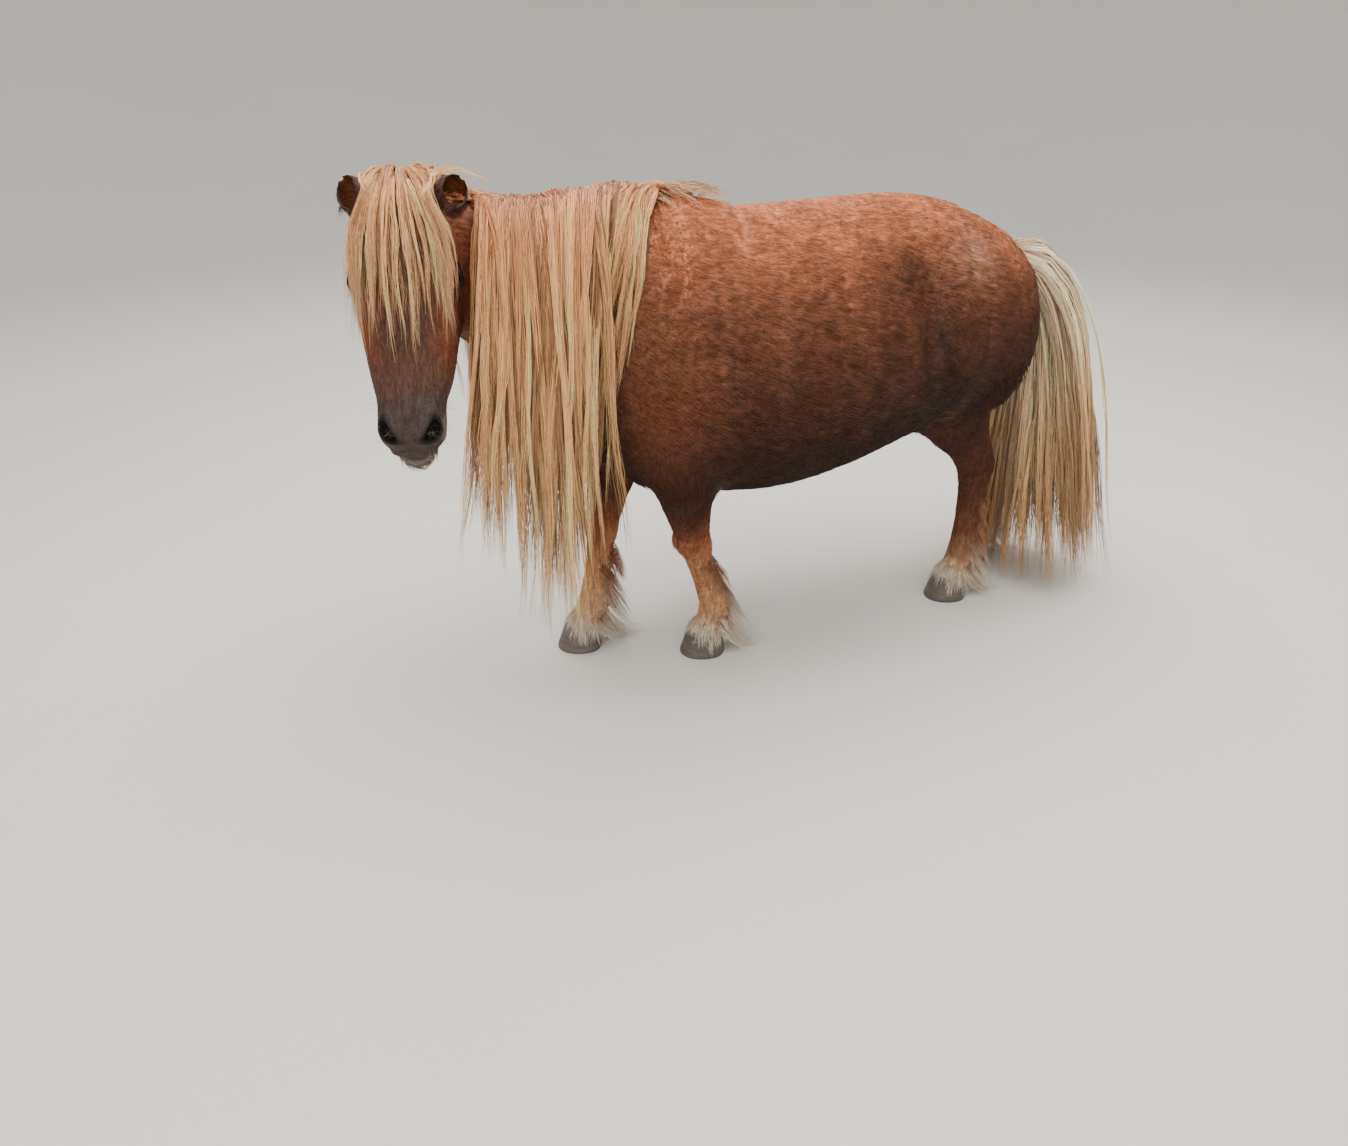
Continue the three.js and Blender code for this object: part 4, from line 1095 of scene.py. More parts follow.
for name, leg in legs.items():
    coronet = leg.section(leg.last)[0]
    turns = np.linspace(0, 2 * math.pi, HOOF_SIDES, endpoint=False)
    cosine, sine = np.cos(turns)[:, None], np.sin(turns)[:, None]
    top = coronet[CENTRE] + coronet[ALONG] * 0.3 + cosine * coronet[SIDE] * coronet[WIDE] \
        + sine * coronet[FRONT] * np.where(sine > 0, coronet[FORE], coronet[AFT])
    foot = np.array([coronet[0], coronet[1], 0])
    sole = foot + cosine * LEFT * SOLE["wide"] \
        + sine * FORWARD * np.where(sine > 0, SOLE["toe"], SOLE["heel"])
    levels = [between(top, foot + (0, 0, coronet[2] - 4), 0.5)]  # the first ring closes it above
    for t in np.linspace(0, 1, HOOF_LEVELS):
        ring = between(top, sole, t)
        middle = ring.mean(0)
        growth = 0.5 * math.sin(t * 34) + 0.35 * math.sin(t * 61 + 1) - 1.5 * np.exp(-(t / 0.08) ** 2)
        wear = -2.2 * np.exp(-((1 - t) / 0.05) ** 2)  # mm, at the ground
        levels.append(ring + unit((ring - middle) * (1, 1, 0)) * (growth * (1 - t) + wear - 0.6))
    levels.append(between(levels[-1], foot, 0.55))
    rows = np.vstack([*levels, [levels[0].mean(0)], [levels[-1].mean(0)]])
    row = np.arange(HOOF_SIDES)
    ahead = np.roll(row, -1)
    final = (len(levels) - 1) * HOOF_SIDES
    faces = outward(rows, np.concatenate([
        *walls_round(HOOF_SIDES, len(levels)),
        np.stack([row * 0 + len(rows) - 2, row, ahead], 1),
        np.stack([row * 0 + len(rows) - 1, final + ahead, final + row], 1)]))
    made = mesh_of(f"horn_{name}", framed(rows), faces, horn)
    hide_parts(f"{name}_hoof")
    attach(made, "root")

# The mane.
# Long flaxen hair rooted along the crest from the withers to the poll. Most of it falls on the near side,
# in thin combed locks that part towards their tips, and the rest on the off side.

STRAND_SIDES = 3
FLOOR_CLEAR = 6
PATCH = 0.003  # the size of a strand's patch on its bake map
EAR_FRONT = 130  # mm in front of an ear's cup that hair stays out of

# Hair falls over the flesh and parts round the ears, which stand free of it on the side that they open to
flesh_points = block.reshape(-1, 3)
hair_grid = flesh_grid.copy()
for side in (1, -1):
    axis, opens, _ = ear_axes(side)
    local = from_ear(flesh_points, side)
    height = np.clip(dot(local, axis), 0, EAR_LENGTH + 4)
    wide = np.interp(height / EAR_LENGTH, EAR_PROFILE[:, 0], EAR_PROFILE[:, 1])
    beyond = local - axis * height[:, None]
    ahead = dot(beyond, opens)
    beyond = beyond - opens * np.clip(ahead, 0, EAR_FRONT)[:, None]
    gap = (np.linalg.norm(beyond, axis=1) - wide).reshape(block.shape[:3])
    hair_grid = np.minimum(hair_grid, gap.astype(np.float32))
grid_slope = np.stack(np.gradient(hair_grid, GRID), -1)


def clear_of(points):
    """How far points are outside flesh and ears, and the way out, read from the grid."""
    place = np.clip((points - GRID_LOW) / GRID, 0, np.array(hair_grid.shape) - 1.001)
    low = place.astype(int)
    t = place - low
    gap = np.zeros(len(points))
    out = np.zeros((len(points), 3))
    for corner in np.ndindex(2, 2, 2):
        weight = np.prod(np.where(corner, t, 1 - t), axis=1)
        cell = tuple((low + corner).T)
        gap += weight * hair_grid[cell]
        out += weight[:, None] * grid_slope[cell]
    return gap, unit(out)


def fall(roots, headings, lengths, pulls, droop, clear, settled=None, later=None, steps=20):
    """The courses of hairs that set off along headings, bend towards pulls, and to later pulls at their
    tips, and stay clear of the flesh, by less as they fall where a settled clearance is given."""
    way = unit(headings)
    point = roots.copy()
    step = lengths / steps
    course = [roots]
    clear = np.broadcast_to(clear, lengths.shape)
    settled = clear if settled is None else np.broadcast_to(settled, lengths.shape)
    droop = np.broadcast_to(droop, lengths.shape)[:, None]
    for i in range(1, steps + 1):
        last = point
        point = point + way * step[:, None]
        gap, out = clear_of(point)
        wanted = between(clear, settled, min(1, 1.6 * i / steps)) * min(1, i / 3)  # none at the root
        point = point + out * np.clip(wanted - gap, 0, step * 1.2)[:, None]
        point[:, 2] = np.maximum(point[:, 2], FLOOR_CLEAR)
        pull = pulls if later is None else between(pulls, later, min(1, max(0, 2.4 * i / steps - 0.5)))
        way = unit(between(unit(point - last), pull, droop))
        course.append(point)
    return np.stack(course, 1)


def parted(courses, lane):
    """Courses moved out of the way of the ears: to the inner side of each with lane -1, the outer with 1."""
    points = courses.reshape(-1, 3)
    for side in (1, -1):
        axis, opens, across = ear_axes(side)
        local = from_ear(points, side)
        height, ahead = dot(local, axis), dot(local, opens)
        wide = np.interp(height / EAR_LENGTH, EAR_PROFILE[:, 0], EAR_PROFILE[:, 1]) + 6
        if lane < 0:
            wide += np.clip(ahead, 0, 90) * (0.36 if side > 0 else 0.5)
            height = height + 0.3 * np.clip(ahead, 0, 90)
        beside = np.clip((height + 14) / 16, 0, 1) * np.clip((EAR_LENGTH + 16 - height) / 16, 0, 1)
        beside *= np.clip((ahead + 30) / 14, 0, 1)
        push = np.maximum(0, wide - dot(local, across) * lane * side) * beside * lane * side
        points = points + push[:, None] * (across @ HEAD_AXES)
    return points.reshape(courses.shape)


def resampled(courses, count):
    """Courses with that many evenly spaced points."""
    places = np.linspace(0, courses.shape[1] - 1, count)
    low = np.minimum(places.astype(int), courses.shape[1] - 2)
    t = (places - low)[None, :, None]
    return courses[:, low] * (1 - t) + courses[:, low + 1] * t


BAKE_CELLS = {}  # each limb's part of the bake map: left, bottom, width, height
limbs = {"trunk": trunk, "neck": neck, "skull": skull, "dock": dock, **legs}
for i, (name, limb) in enumerate(limbs.items()):
    BAKE_CELLS[name] = (limb, 0.01 + 0.25 * (i % 4), 0.01 + 0.5 * (i // 4), 0.23, 0.47)


def bake_places(points):
    """Where points lie on an unwrap of the skin: along and round the nearest limb."""
    gaps = np.stack([limb.outside(points) for limb, *_ in BAKE_CELLS.values()])
    nearest = np.argmin(gaps, axis=0)
    places = np.zeros((len(points), 2))
    for i, (limb, left, bottom, width, height) in enumerate(BAKE_CELLS.values()):
        mine = nearest == i
        if mine.any():
            station, turn, _, _ = limb.polar(points[mine])
            places[mine, 0] = left + width * station / limb.last
            places[mine, 1] = bottom + height * (turn / (2 * math.pi) + 0.5)
    return places


def bake_map(piece, faces, roots, local):
    """The OFBake map of a piece of hair: a small patch for each strand, at its root's place."""
    each = len(local)
    bake = np.repeat(bake_places(roots), each, axis=0) + np.tile(local, (len(roots), 1)) * PATCH
    layer = piece.data.uv_layers.new(name="OFBake")
    layer.data.foreach_set("uv", bake[faces.ravel()].astype(np.float32).ravel())


def strands(name, courses, widths, colours, material, flatness=0.6):
    """A piece of closed, tapered strands along courses, each a prism that ends in a point."""
    count, rings, _ = courses.shape
    along = unit(np.gradient(courses, axis=1))
    _, out = clear_of(courses[:, 0])
    normal = unit(out - along[:, 0] * dot(out, along[:, 0])[:, None] + 1e-4)
    normals = [normal]
    for i in range(1, rings):
        normal = unit(normal - along[:, i] * dot(normal, along[:, i])[:, None])
        normals.append(normal)
    normals = np.stack(normals, 1)
    across = np.cross(along, normals)
    t = np.linspace(0, 1, rings)
    taper = np.minimum(1, 0.55 + 3 * t) * (1 - 0.9 * t**2.5)  # thinner at the root, finest at the tip
    half = widths[:, None, None] / 2 * taper[None, :, None]
    ring = []
    for turn in np.arange(STRAND_SIDES) * 2 * math.pi / STRAND_SIDES + math.pi / 6:
        ring.append(courses + across * half * math.cos(turn) + normals * half * flatness * math.sin(turn))
    points = np.stack(ring, 2).reshape(-1, 3)
    base = (np.arange(count) * rings * STRAND_SIDES)[:, None, None]
    level = (np.arange(rings - 1) * STRAND_SIDES)[None, :, None]
    side = np.arange(STRAND_SIDES)[None, None, :]
    turned = (np.arange(STRAND_SIDES) + 1)[None, None, :] % STRAND_SIDES
    a, b = base + level + side, base + level + turned
    c, d = a + STRAND_SIDES, b + STRAND_SIDES
    walls = np.stack([a, b, d, a, d, c], -1).reshape(-1, 3)
    start = base[:, 0, 0]
    end = start + (rings - 1) * STRAND_SIDES
    caps = np.concatenate([np.stack([start, start + 2, start + 1], 1), np.stack([end, end + 1, end + 2], 1)])
    faces = np.concatenate([walls, caps])
    piece = mesh_of(name, framed(points), faces, material)
    paint(piece.data, "hair", np.repeat(colours, STRAND_SIDES, axis=1).reshape(-1, 3))
    local = np.stack(np.meshgrid(t, np.arange(STRAND_SIDES) / STRAND_SIDES, indexing="ij"), -1).reshape(-1, 2)
    bake_map(piece, faces, courses[:, 0], local)
    return piece


FINE_STEPS = 24  # points of a course while its waves are worked out
HAIR_CONTRAST = 0.26  # between the tones of single hairs
WIDTHS = (0.75, 1.2)  # of hairs, as shares of their layer's width


def locks(rng, guides, each, spread, gather, frizz, shorten=0.25, rings=10, sway=4.0):
    """Hairs round guides: spread mm apart at the root, gathered by that share towards the tip, each with
    its own waves, and each lock with a slower sway of its own."""
    count = len(guides)
    courses = resampled(np.repeat(guides, each, axis=0), FINE_STEPS)
    total = count * each
    t = np.linspace(0, 1, FINE_STEPS)[None, :, None]
    along = unit(np.gradient(courses, axis=1))
    _, out = clear_of(courses[:, 0])
    across = unit(np.cross(along[:, 0], out))
    disc = rng.uniform(-1, 1, (total, 2)) * np.repeat(np.broadcast_to(spread, count), each)[:, None]
    tight = 1 - gather * np.minimum(1, t * 1.6) ** 0.8  # gathered well before the tip
    start = (across * disc[:, :1] + out * disc[:, 1:] * 0.35)[:, None, :]
    courses = courses + start * tight
    side_way = unit(np.cross(along, out[:, None, :]) + 1e-6)
    lift = np.cross(side_way, along)
    for way, size in ((side_way, 1.0), (lift, 0.6)):
        phase = rng.uniform(0, 2 * math.pi, (total, 1, 1))
        waves = rng.uniform(0.8, 4.2, (total, 1, 1))
        amount = rng.normal(0, 1, (total, 1, 1)) * frizz * size
        courses = courses + way * amount * np.sin(2 * math.pi * waves * t + phase) * np.minimum(1, 2 * t)
    shared = rng.uniform(0, 2 * math.pi, (count, 1, 1)).repeat(each, axis=0)
    beat = rng.uniform(1.2, 2.4, (count, 1, 1)).repeat(each, axis=0)
    courses = courses + side_way * sway * np.sin(2 * math.pi * beat * t + shared) * t
    ends = 1 - shorten * rng.uniform(0, 1, total) ** 1.5
    places = np.linspace(0, 1, rings)[None, :] * ends[:, None] * (FINE_STEPS - 1)
    low = np.minimum(places.astype(int), FINE_STEPS - 2)
    part = (places - low)[..., None]
    pick = np.arange(total)[:, None]
    courses = courses[pick, low] * (1 - part) + courses[pick, low + 1] * part
    courses[..., 2] = np.maximum(courses[..., 2], FLOOR_CLEAR * 0.6)
    return courses


def hair_tones(rng, courses, each, stops, clump=0.26, light=1.0):
    """A colour for each ring of each strand: along its length, varied by lock and by hair, and scaled by the
    layer's lightness, which paints the deep layers darker as shade and the outermost lighter.
    """
    total, rings, _ = courses.shape
    base = ramp(np.linspace(0, 1, rings), stops)[None]
    lock_tone = 1 + clump * np.repeat(rng.normal(0, 1, (total // each, 1, 1)), each, axis=0)
    hair_tone = 1 + HAIR_CONTRAST * rng.normal(0, 1, (total, 1, 1))
    tone = base * np.clip(lock_tone, 0.5, 1.5) * np.clip(hair_tone, 0.45, 1.6) * light
    return np.clip(tone, 0.004, 0.9)


def layered(rng, name, guides, layer, stops, waves, lane=0, clump=0.26):
    """A piece of locks round guides, as its layer says, in a lane beside the ears where one is given."""
    courses = locks(rng, guides, layer["each"], layer["spread"], layer["gather"], **waves)
    if lane:
        courses = parted(courses, lane)
    tones = hair_tones(rng, courses, layer["each"], stops, clump, layer["light"])
    return strands(name, courses, layer["wide"] * rng.uniform(*WIDTHS, len(courses)), tones, flaxen)


# Coarse horse hair: each strand is smooth and faintly glossy, and the colour is its own from root to tip
flaxen, tree, shader = finish_of("long_flaxen_hair", {
    "Roughness": 0.46, "IOR": 1.55, "Specular IOR Level": 0.4})
hair_colour = add(tree, "ShaderNodeAttribute", attribute_name="hair")
coordinates = add(tree, "ShaderNodeTexCoord").outputs["Object"]
fine = add(tree, "ShaderNodeTexNoise", {"Vector": coordinates, "Scale": 260.0, "Detail": 2.0})
fine_range = add(tree, "ShaderNodeMapRange", {"Value": fine.outputs["Fac"], "From Min": 0.3, "From Max": 0.7,
                                              "To Min": 0.86, "To Max": 1.12})
hair_tint = add(tree, "ShaderNodeVectorMath", {0: hair_colour.outputs["Color"], 1: fine_range.outputs[0]},
                operation="MULTIPLY")
tree.links.new(hair_tint.outputs[0], shader.inputs["Base Color"])

MANE_LENGTHS = [350, 560, 800, 880, 850, 740, 660]  # from the withers to the poll
MANE_DRIFT = [0.3, 0.2, 0.08, 0.02, 0.0, 0.07, 0.13]  # how far it hangs forward as it falls
MANE_PUFF = [1.5, 1.7, 0.8, 0.35, 0.3, 0.3, 0.3]  # how far it rises before it falls
MANE_SETS_OFF = [0.35, 0.25, 0.2]  # how far forward it sets off, but for the poll, where the side counts
MANE_CROWDING = 1.12  # over 1, the roots stand closer towards the withers
MANE_WAVES = dict(frizz=3.4, shorten=0.36, sway=9)
# Side, locks, hairs in each, share of the length, clearance at the root and at the tip, spread of a lock's
# root, how far it gathers, its lightness (painted light and shade: darker deep under the others, lighter
# outermost), and the width of a hair
MANE_LAYERS = [
    dict(side=1, locks=70, each=15, share=0.94, clear=4, settled=3,
         spread=13, gather=0.2, light=0.4, wide=3.0),
    dict(side=1, locks=96, each=27, share=1.0, clear=15, settled=8,
         spread=9, gather=0.5, light=0.95, wide=1.7),
    dict(side=1, locks=84, each=24, share=0.98, clear=26, settled=14,
         spread=7, gather=0.66, light=1.16, wide=1.4),
    dict(side=-1, locks=60, each=16, share=0.62, clear=14, settled=6,
         spread=12, gather=0.5, light=0.95, wide=2.1),
]
MANE_TONES = [(0, "b2653c"), (0.12, "d38b5c"), (0.4, "e2a46e"), (0.75, "e4ac76"), (1, "eabb84")]
CREST_FROM, CREST_TO = 0.68, 4.7  # stations of the neck
NEAR_EAR, OFF_EAR = 4.02, 4.3  # the stations past which none falls, on each side


def spaced(values, t):
    """A value at each t from 0 to 1, between evenly spaced values."""
    return np.interp(t, np.linspace(0, 1, len(values)), values)


def on_crest(t, lean, sink=1.5):
    """Roots on the crest of the neck, lean radians down its side."""
    row = neck.section(between(CREST_FROM, CREST_TO, t))
    turn = math.pi / 2 - lean
    return row[:, CENTRE] + row[:, SIDE] * (np.cos(turn) * (row[:, WIDE] - sink))[:, None] \
        + row[:, FRONT] * (np.sin(turn) * (row[:, FORE] - sink))[:, None]


rng = np.random.default_rng(20)
for number, layer in enumerate(MANE_LAYERS):
    count, side = layer["locks"], layer["side"]
    t = ((np.arange(count) + rng.uniform(0.1, 0.9, count)) / count) ** MANE_CROWDING
    t *= ((NEAR_EAR if side > 0 else OFF_EAR) - CREST_FROM) / (CREST_TO - CREST_FROM)
    roots = on_crest(t, side * rng.uniform(-0.1, 0.12, count))
    paced = t / t.max()
    puff = spaced(MANE_PUFF, paced)
    sets_off = spaced([*MANE_SETS_OFF, 0.15 + 0.15 * side], paced)
    heading = side * 0.9 * LEFT + UP * (1.5 * puff)[:, None] + FORWARD * sets_off[:, None]
    drift = spaced(MANE_DRIFT, paced) * (side > 0)
    pull = unit(DOWN + FORWARD * drift[:, None] + rng.normal(0, 0.045, (count, 3)))
    length = spaced(MANE_LENGTHS, paced) * layer["share"] * rng.uniform(0.8, 1.06, count)
    lift = rng.uniform(0, 7, count)
    clear = layer["clear"] * (0.3 + 0.7 * puff) + lift
    guides = fall(roots, heading, length, pull, 0.4, clear, layer["settled"] + lift)
    piece = layered(rng, f"mane_{number + 1}", guides, layer, MANE_TONES, MANE_WAVES, lane=1)
    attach(piece, "root")

# Over the withers the mane ends in short hair that the wind has laid back along the spine
SHORT_WIDTHS = (1.1, 1.8)  # mm, of its hairs and those over the poll
WITHERS_TONES = [(0, "a5653f"), (0.4, "c48a5c"), (1, "dcb083")]
count, each = 52, 16  # locks, and hairs in each
t = rng.uniform(0, 1, count)
roots = on_crest(t * 0.34 - 0.07, rng.uniform(-0.12, 0.18, count))
heading = UP * 1.0 - FORWARD * between(1.3, 0.2, t)[:, None] + LEFT * rng.uniform(-0.3, 0.7, (count, 1))
aside = LEFT * rng.uniform(-0.1, 0.8, (count, 1))
pull = unit(-FORWARD * between(1.0, 0.25, t)[:, None] + DOWN * 0.7 + aside)
length = rng.uniform(50, 105, count)
guides = fall(roots, heading, length, pull, 0.3, 9 + rng.uniform(0, 20, count), 3.0, steps=12)
courses = locks(rng, guides, each, 14, 0.2, 2.4, shorten=0.5, rings=8, sway=3)
tones = hair_tones(rng, courses, each, WITHERS_TONES)
piece = strands("mane_withers", courses, rng.uniform(*SHORT_WIDTHS, len(courses)), tones, flaxen)
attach(piece, "root")

# Behind the near ear the last of it rises over the poll and lies back along the neck
count, each = 46, 14
t = rng.uniform(0, 1, count)
roots = on_crest((between(3.5, 4.8, t) - CREST_FROM) / (CREST_TO - CREST_FROM), rng.uniform(-0.3, 0.3, count))
heading = UP * 0.4 - FORWARD * 1.0 + LEFT * rng.uniform(-0.5, 0.1, (count, 1))
pull = unit(-FORWARD * 0.9 + LEFT * rng.uniform(-0.4, 0.3, (count, 1)) + DOWN * 0.5)
length = rng.uniform(70, 140, count)
guides = fall(roots, heading, length, pull, 0.4, 7 + rng.uniform(0, 14, count), 5, steps=12)
courses = locks(rng, guides, each, 8, 0.4, 1.6, shorten=0.4, rings=8, sway=3)
tones = hair_tones(rng, courses, each, MANE_TONES)
piece = strands("mane_poll", courses, rng.uniform(*SHORT_WIDTHS, len(courses)), tones, flaxen)
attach(piece, "root")

# The forelock.
# The hair between the ears rises over the poll, falls forward over the brow, parts in the middle and
# covers most of both eyes.
FORELOCK_LENGTH = 365
FORELOCK_FAN = (0.9, 1.85)  # how far it spreads to the far and near side as it crosses the brow
FORELOCK_ROOTS = 25  # mm to each side of the middle
FORELOCK_WAVES = dict(frizz=2.2, shorten=0.4)
# Each layer's lightness is painted light and shade: darker deep under the others, lighter outermost
FORELOCK_LAYERS = [
    dict(locks=36, each=15, share=0.8, clear=8, settled=3, spread=9, gather=0.25, light=0.6, wide=2.6),
    dict(locks=60, each=19, share=1.0, clear=44, settled=7, spread=6, gather=0.5, light=1.0, wide=1.5),
    dict(locks=46, each=18, share=0.97, clear=57, settled=12, spread=5, gather=0.66, light=1.18, wide=1.3),
]
FORELOCK_TONES = [(0, "b86d44"), (0.15, "dd9a6c"), (0.5, "e2a673"), (1, "dbb083")]

for number, layer in enumerate(FORELOCK_LAYERS):
    count = layer["locks"]
    t = np.linspace(-1, 1, count) + rng.uniform(-0.03, 0.03, count)
    along = rng.uniform(-26, 8, count)
    roots = POLL + np.stack([along, t * FORELOCK_ROOTS, np.full(count, 6.0)], 1) @ HEAD_AXES
    for _ in range(3):
        gap, out = clear_of(roots)
        roots = roots - out * (gap + 1)[:, None]
    heading = UP * 1.6 + head_left * (t * 0.6)[:, None] + facing * 0.4
    length = FORELOCK_LENGTH * (1 - np.where(t < 0, 0.36, 0.5) * t * t)
    length = length * layer["share"] * rng.uniform(0.82, 1.05, count)
    fan = head_left * (np.where(t < 0, *FORELOCK_FAN) * t)[:, None]
    astray = rng.normal(0, 0.04, (count, 3))
    aside = head_left * rng.normal(0, 0.09, (count, 1))
    pull = unit(head_down + DOWN * 0.5 + fan + astray + aside)
    later = unit(head_down * 0.5 + DOWN + fan * 0.12)
    lift = rng.uniform(0, 6, count)
    clear = layer["clear"] * (1 - 0.4 * t * t)
    guides = fall(roots, heading, length, pull, 0.34, clear + lift, layer["settled"] + lift, later)
    piece = layered(rng, f"forelock_{number + 1}", guides, layer, FORELOCK_TONES, FORELOCK_WAVES, lane=-1)
    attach(piece, "root")

# The tail.
# Hair as long as the pony is high grows all round the dock and hangs to the ground, sweeping back.
TAIL_TONES = [(0, "e0b28c"), (0.08, "f8dab8"), (0.3, "f5d2a9"), (0.65, "caa577"), (1, "b98c5b")]
TAIL_TURN = 2.4  # radians round the dock from one lock to the next, so that they come out evenly spread
TAIL_WAVES = dict(frizz=3.2, shorten=0.26, rings=11, sway=8)
# Each layer's lightness is painted light and shade: darker deep under the others, lighter outermost
TAIL_LAYERS = [
    dict(locks=70, each=15, clear=5, spread=15, gather=0.2, light=0.6, wide=3.2),
    dict(locks=100, each=19, clear=12, spread=12, gather=0.5, light=0.98, wide=2.0),
    dict(locks=76, each=20, clear=17, spread=9, gather=0.66, light=1.2, wide=1.6),
]
for number, layer in enumerate(TAIL_LAYERS):
    count = layer["locks"]
    t = (np.arange(count) + 0.5) / count
    turn = np.arange(count) * TAIL_TURN + number
    row = dock.section(between(0.12, 3.7, t**0.9))
    reach = np.where(np.sin(turn) > 0, row[:, FORE], row[:, AFT]) - 1
    out = row[:, SIDE] * np.cos(turn)[:, None] + row[:, FRONT] * np.sin(turn)[:, None]
    roots = row[:, CENTRE] + out * reach[:, None]
    heading = row[:, ALONG] * 0.7 + out * 0.6 + DOWN * 0.5
    pull = unit(DOWN + FORWARD * (-0.07 + 0.13 * dot(out, FORWARD))[:, None]
                + LEFT * (0.05 + 0.15 * dot(out, LEFT))[:, None] + rng.normal(0, 0.025, (count, 3)))
    length = roots[:, 2] * rng.uniform(0.86, 1.06, count)
    guides = fall(roots, heading, length, pull, 0.3, layer["clear"] + 4 * (1 - t))
    piece = layered(rng, f"tail_{number + 1}", guides, layer, TAIL_TONES, TAIL_WAVES, clump=0.2)
    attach(piece, "root")
    if number == 1:
        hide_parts("tail")

# The feathers.
# Long pale hair behind each cannon and heel sweeps back, and a fringe hangs over the top of each hoof.
FEATHER_TONES = [(0, "9a6a48"), (0.25, "c4a486"), (0.6, "ddcfbe"), (1, "eee6da")]
SHANK_TONES = [(0, "7c4a2e"), (0.5, "966242"), (1, "b58a66")]  # higher up the leg
FRINGE_TONES = [(0, "b59376"), (0.35, "d6c4ae"), (1, "e8dfd2")]
FEATHER_LENGTH = 152
FRINGE_LENGTH = 48
FEATHER_WIDTHS = (0.8, 1.4)  # mm
for number, (name, leg) in enumerate(legs.items()):
    rng = np.random.default_rng(53 + number)
    count, each = 84, 12  # locks, and hairs in each
    t = rng.uniform(0, 1, count) ** 0.8
    turn = -math.pi / 2 + rng.uniform(-1.6, 1.6, count)
    row = leg.section(leg.last - between(4.2, 0.6, t))
    out = row[:, SIDE] * (np.cos(turn) * (row[:, WIDE] - LEG_COAT))[:, None] \
        + row[:, FRONT] * (np.sin(turn) * (row[:, AFT] - LEG_COAT))[:, None]
    roots = row[:, CENTRE] + out
    heading = unit(out) * 0.8 + at(-0.35, 0, -1.5)
    pull = unit(np.stack([rng.normal(0, 0.16, count), between(0.1, 1.3, t**2), np.full(count, -0.75)], 1))
    length = FEATHER_LENGTH * between(0.6, 1, t) * rng.uniform(0.6, 1.12, count)
    length = length * np.clip(-np.sin(turn) + 0.35, 0.45, 1)
    guides = fall(roots, heading, length, pull, 0.2, 3.0 + rng.uniform(0, 6, count), steps=10)
    courses = [locks(rng, guides, each, 11, 0.3, 2.6, shorten=0.55, rings=6, sway=4)]
    tones = [between(hair_tones(rng, courses[0], each, SHANK_TONES, clump=0.12),
                     hair_tones(rng, courses[0], each, FEATHER_TONES, clump=0.12),
                     np.repeat(np.clip((t - 0.3) / 0.35, 0, 1), each)[:, None, None])]
    count = 56  # locks of the fringe
    turn = (np.arange(count) + rng.uniform(-0.4, 0.4, count)) * 2 * math.pi / count
    row = leg.section(leg.last - rng.uniform(0.15, 1.3, count))
    reach = np.where(np.sin(turn) > 0, row[:, FORE], row[:, AFT]) - LEG_COAT
    out = row[:, SIDE] * (np.cos(turn) * (row[:, WIDE] - LEG_COAT))[:, None] \
        + row[:, FRONT] * (np.sin(turn) * reach)[:, None]
    roots = row[:, CENTRE] + out
    heading = unit(out) * 0.6 + DOWN * 1.2
    length = FRINGE_LENGTH * rng.uniform(0.6, 1.15, count)
    guides = fall(roots, heading, length, np.tile(DOWN, (count, 1)), 0.15, 3.5, steps=8)
    courses.append(locks(rng, guides, each, 7, 0.25, 1.6, shorten=0.5, rings=6, sway=1.5))
    tones.append(hair_tones(rng, courses[1], each, FRINGE_TONES, clump=0.1))
    courses, tones = np.concatenate(courses), np.concatenate(tones)
    piece = strands(f"feather_{name}", courses, rng.uniform(*FEATHER_WIDTHS, len(courses)), tones, flaxen)
    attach(piece, "root")

# The short coat.
# Tufts of a few fine blades, rooted in the hide, overlap along the lie of the coat. They are longest on the
# trunk and shortest low on the face, and take their colour from the skin below them.
# Each blade of a tuft: how far to the side it starts and ends, its length, and how far its tip is raised
TUFT_BLADES = [(-0.32, -0.36, 0.94, 0.03), (-0.18, -0.14, 1.0, 0.05), (-0.05, -0.09, 0.82, 0.08),
               (0.08, 0.12, 1.0, 0.05), (0.2, 0.16, 0.88, 0.07), (0.33, 0.38, 1.0, 0.03)]
BLADE_WIDTH = 0.062  # of the tuft's length
TRUNK_HAIR, NECK_HAIR = 25.0, 20.0  # mm
FACE_HAIR = (11, 4.5)  # mm, from the poll to the lips
BARREL_PART, HEAD_NECK_PART, LEGS_PART, QUARTERS_PART = 1, 2, 3, 4
COAT_PIECES = {
    "coat_barrel": dict(part=BARREL_PART, apart=9.4, seed=11, slot="chestnut_coat"),
    "coat_quarters": dict(part=QUARTERS_PART, apart=9.4, seed=14, slot="chestnut_coat"),
    "coat_head_neck": dict(part=HEAD_NECK_PART, apart=6.4, seed=12, slot="chestnut_coat"),
    "coat_legs": dict(part=LEGS_PART, apart=7.2, seed=13, slot="dark_coat"),
}
COAT_NAMES = (*COAT_PIECES, "coat_length", "lie")  # of what the skin carries only while the coat grows

tuft_points, tuft_faces = [], []
for start_across, end_across, reach, up in TUFT_BLADES:
    base = len(tuft_points)
    half = BLADE_WIDTH / 2
    tuft_points += [(0, start_across - half, -0.02), (0, start_across + half, -0.02),
                    (0.15, start_across, 0.03), (reach, end_across, up)]
    tuft_faces += [(base, base + 2, base + 1), (base, base + 3, base + 2), (base + 2, base + 3, base + 1),
                   (base, base + 1, base + 3)]
tuft_points = np.array(tuft_points, float)
coat_hair, tree, shader = finish_of("short_coat_hair", {"Roughness": 0.55, "Specular IOR Level": 0.22})
tuft = mesh_of("tuft", tuft_points, tuft_faces, coat_hair)
weigh(tuft.data, "tip", np.clip(tuft_points[:, 0], 0, 1))

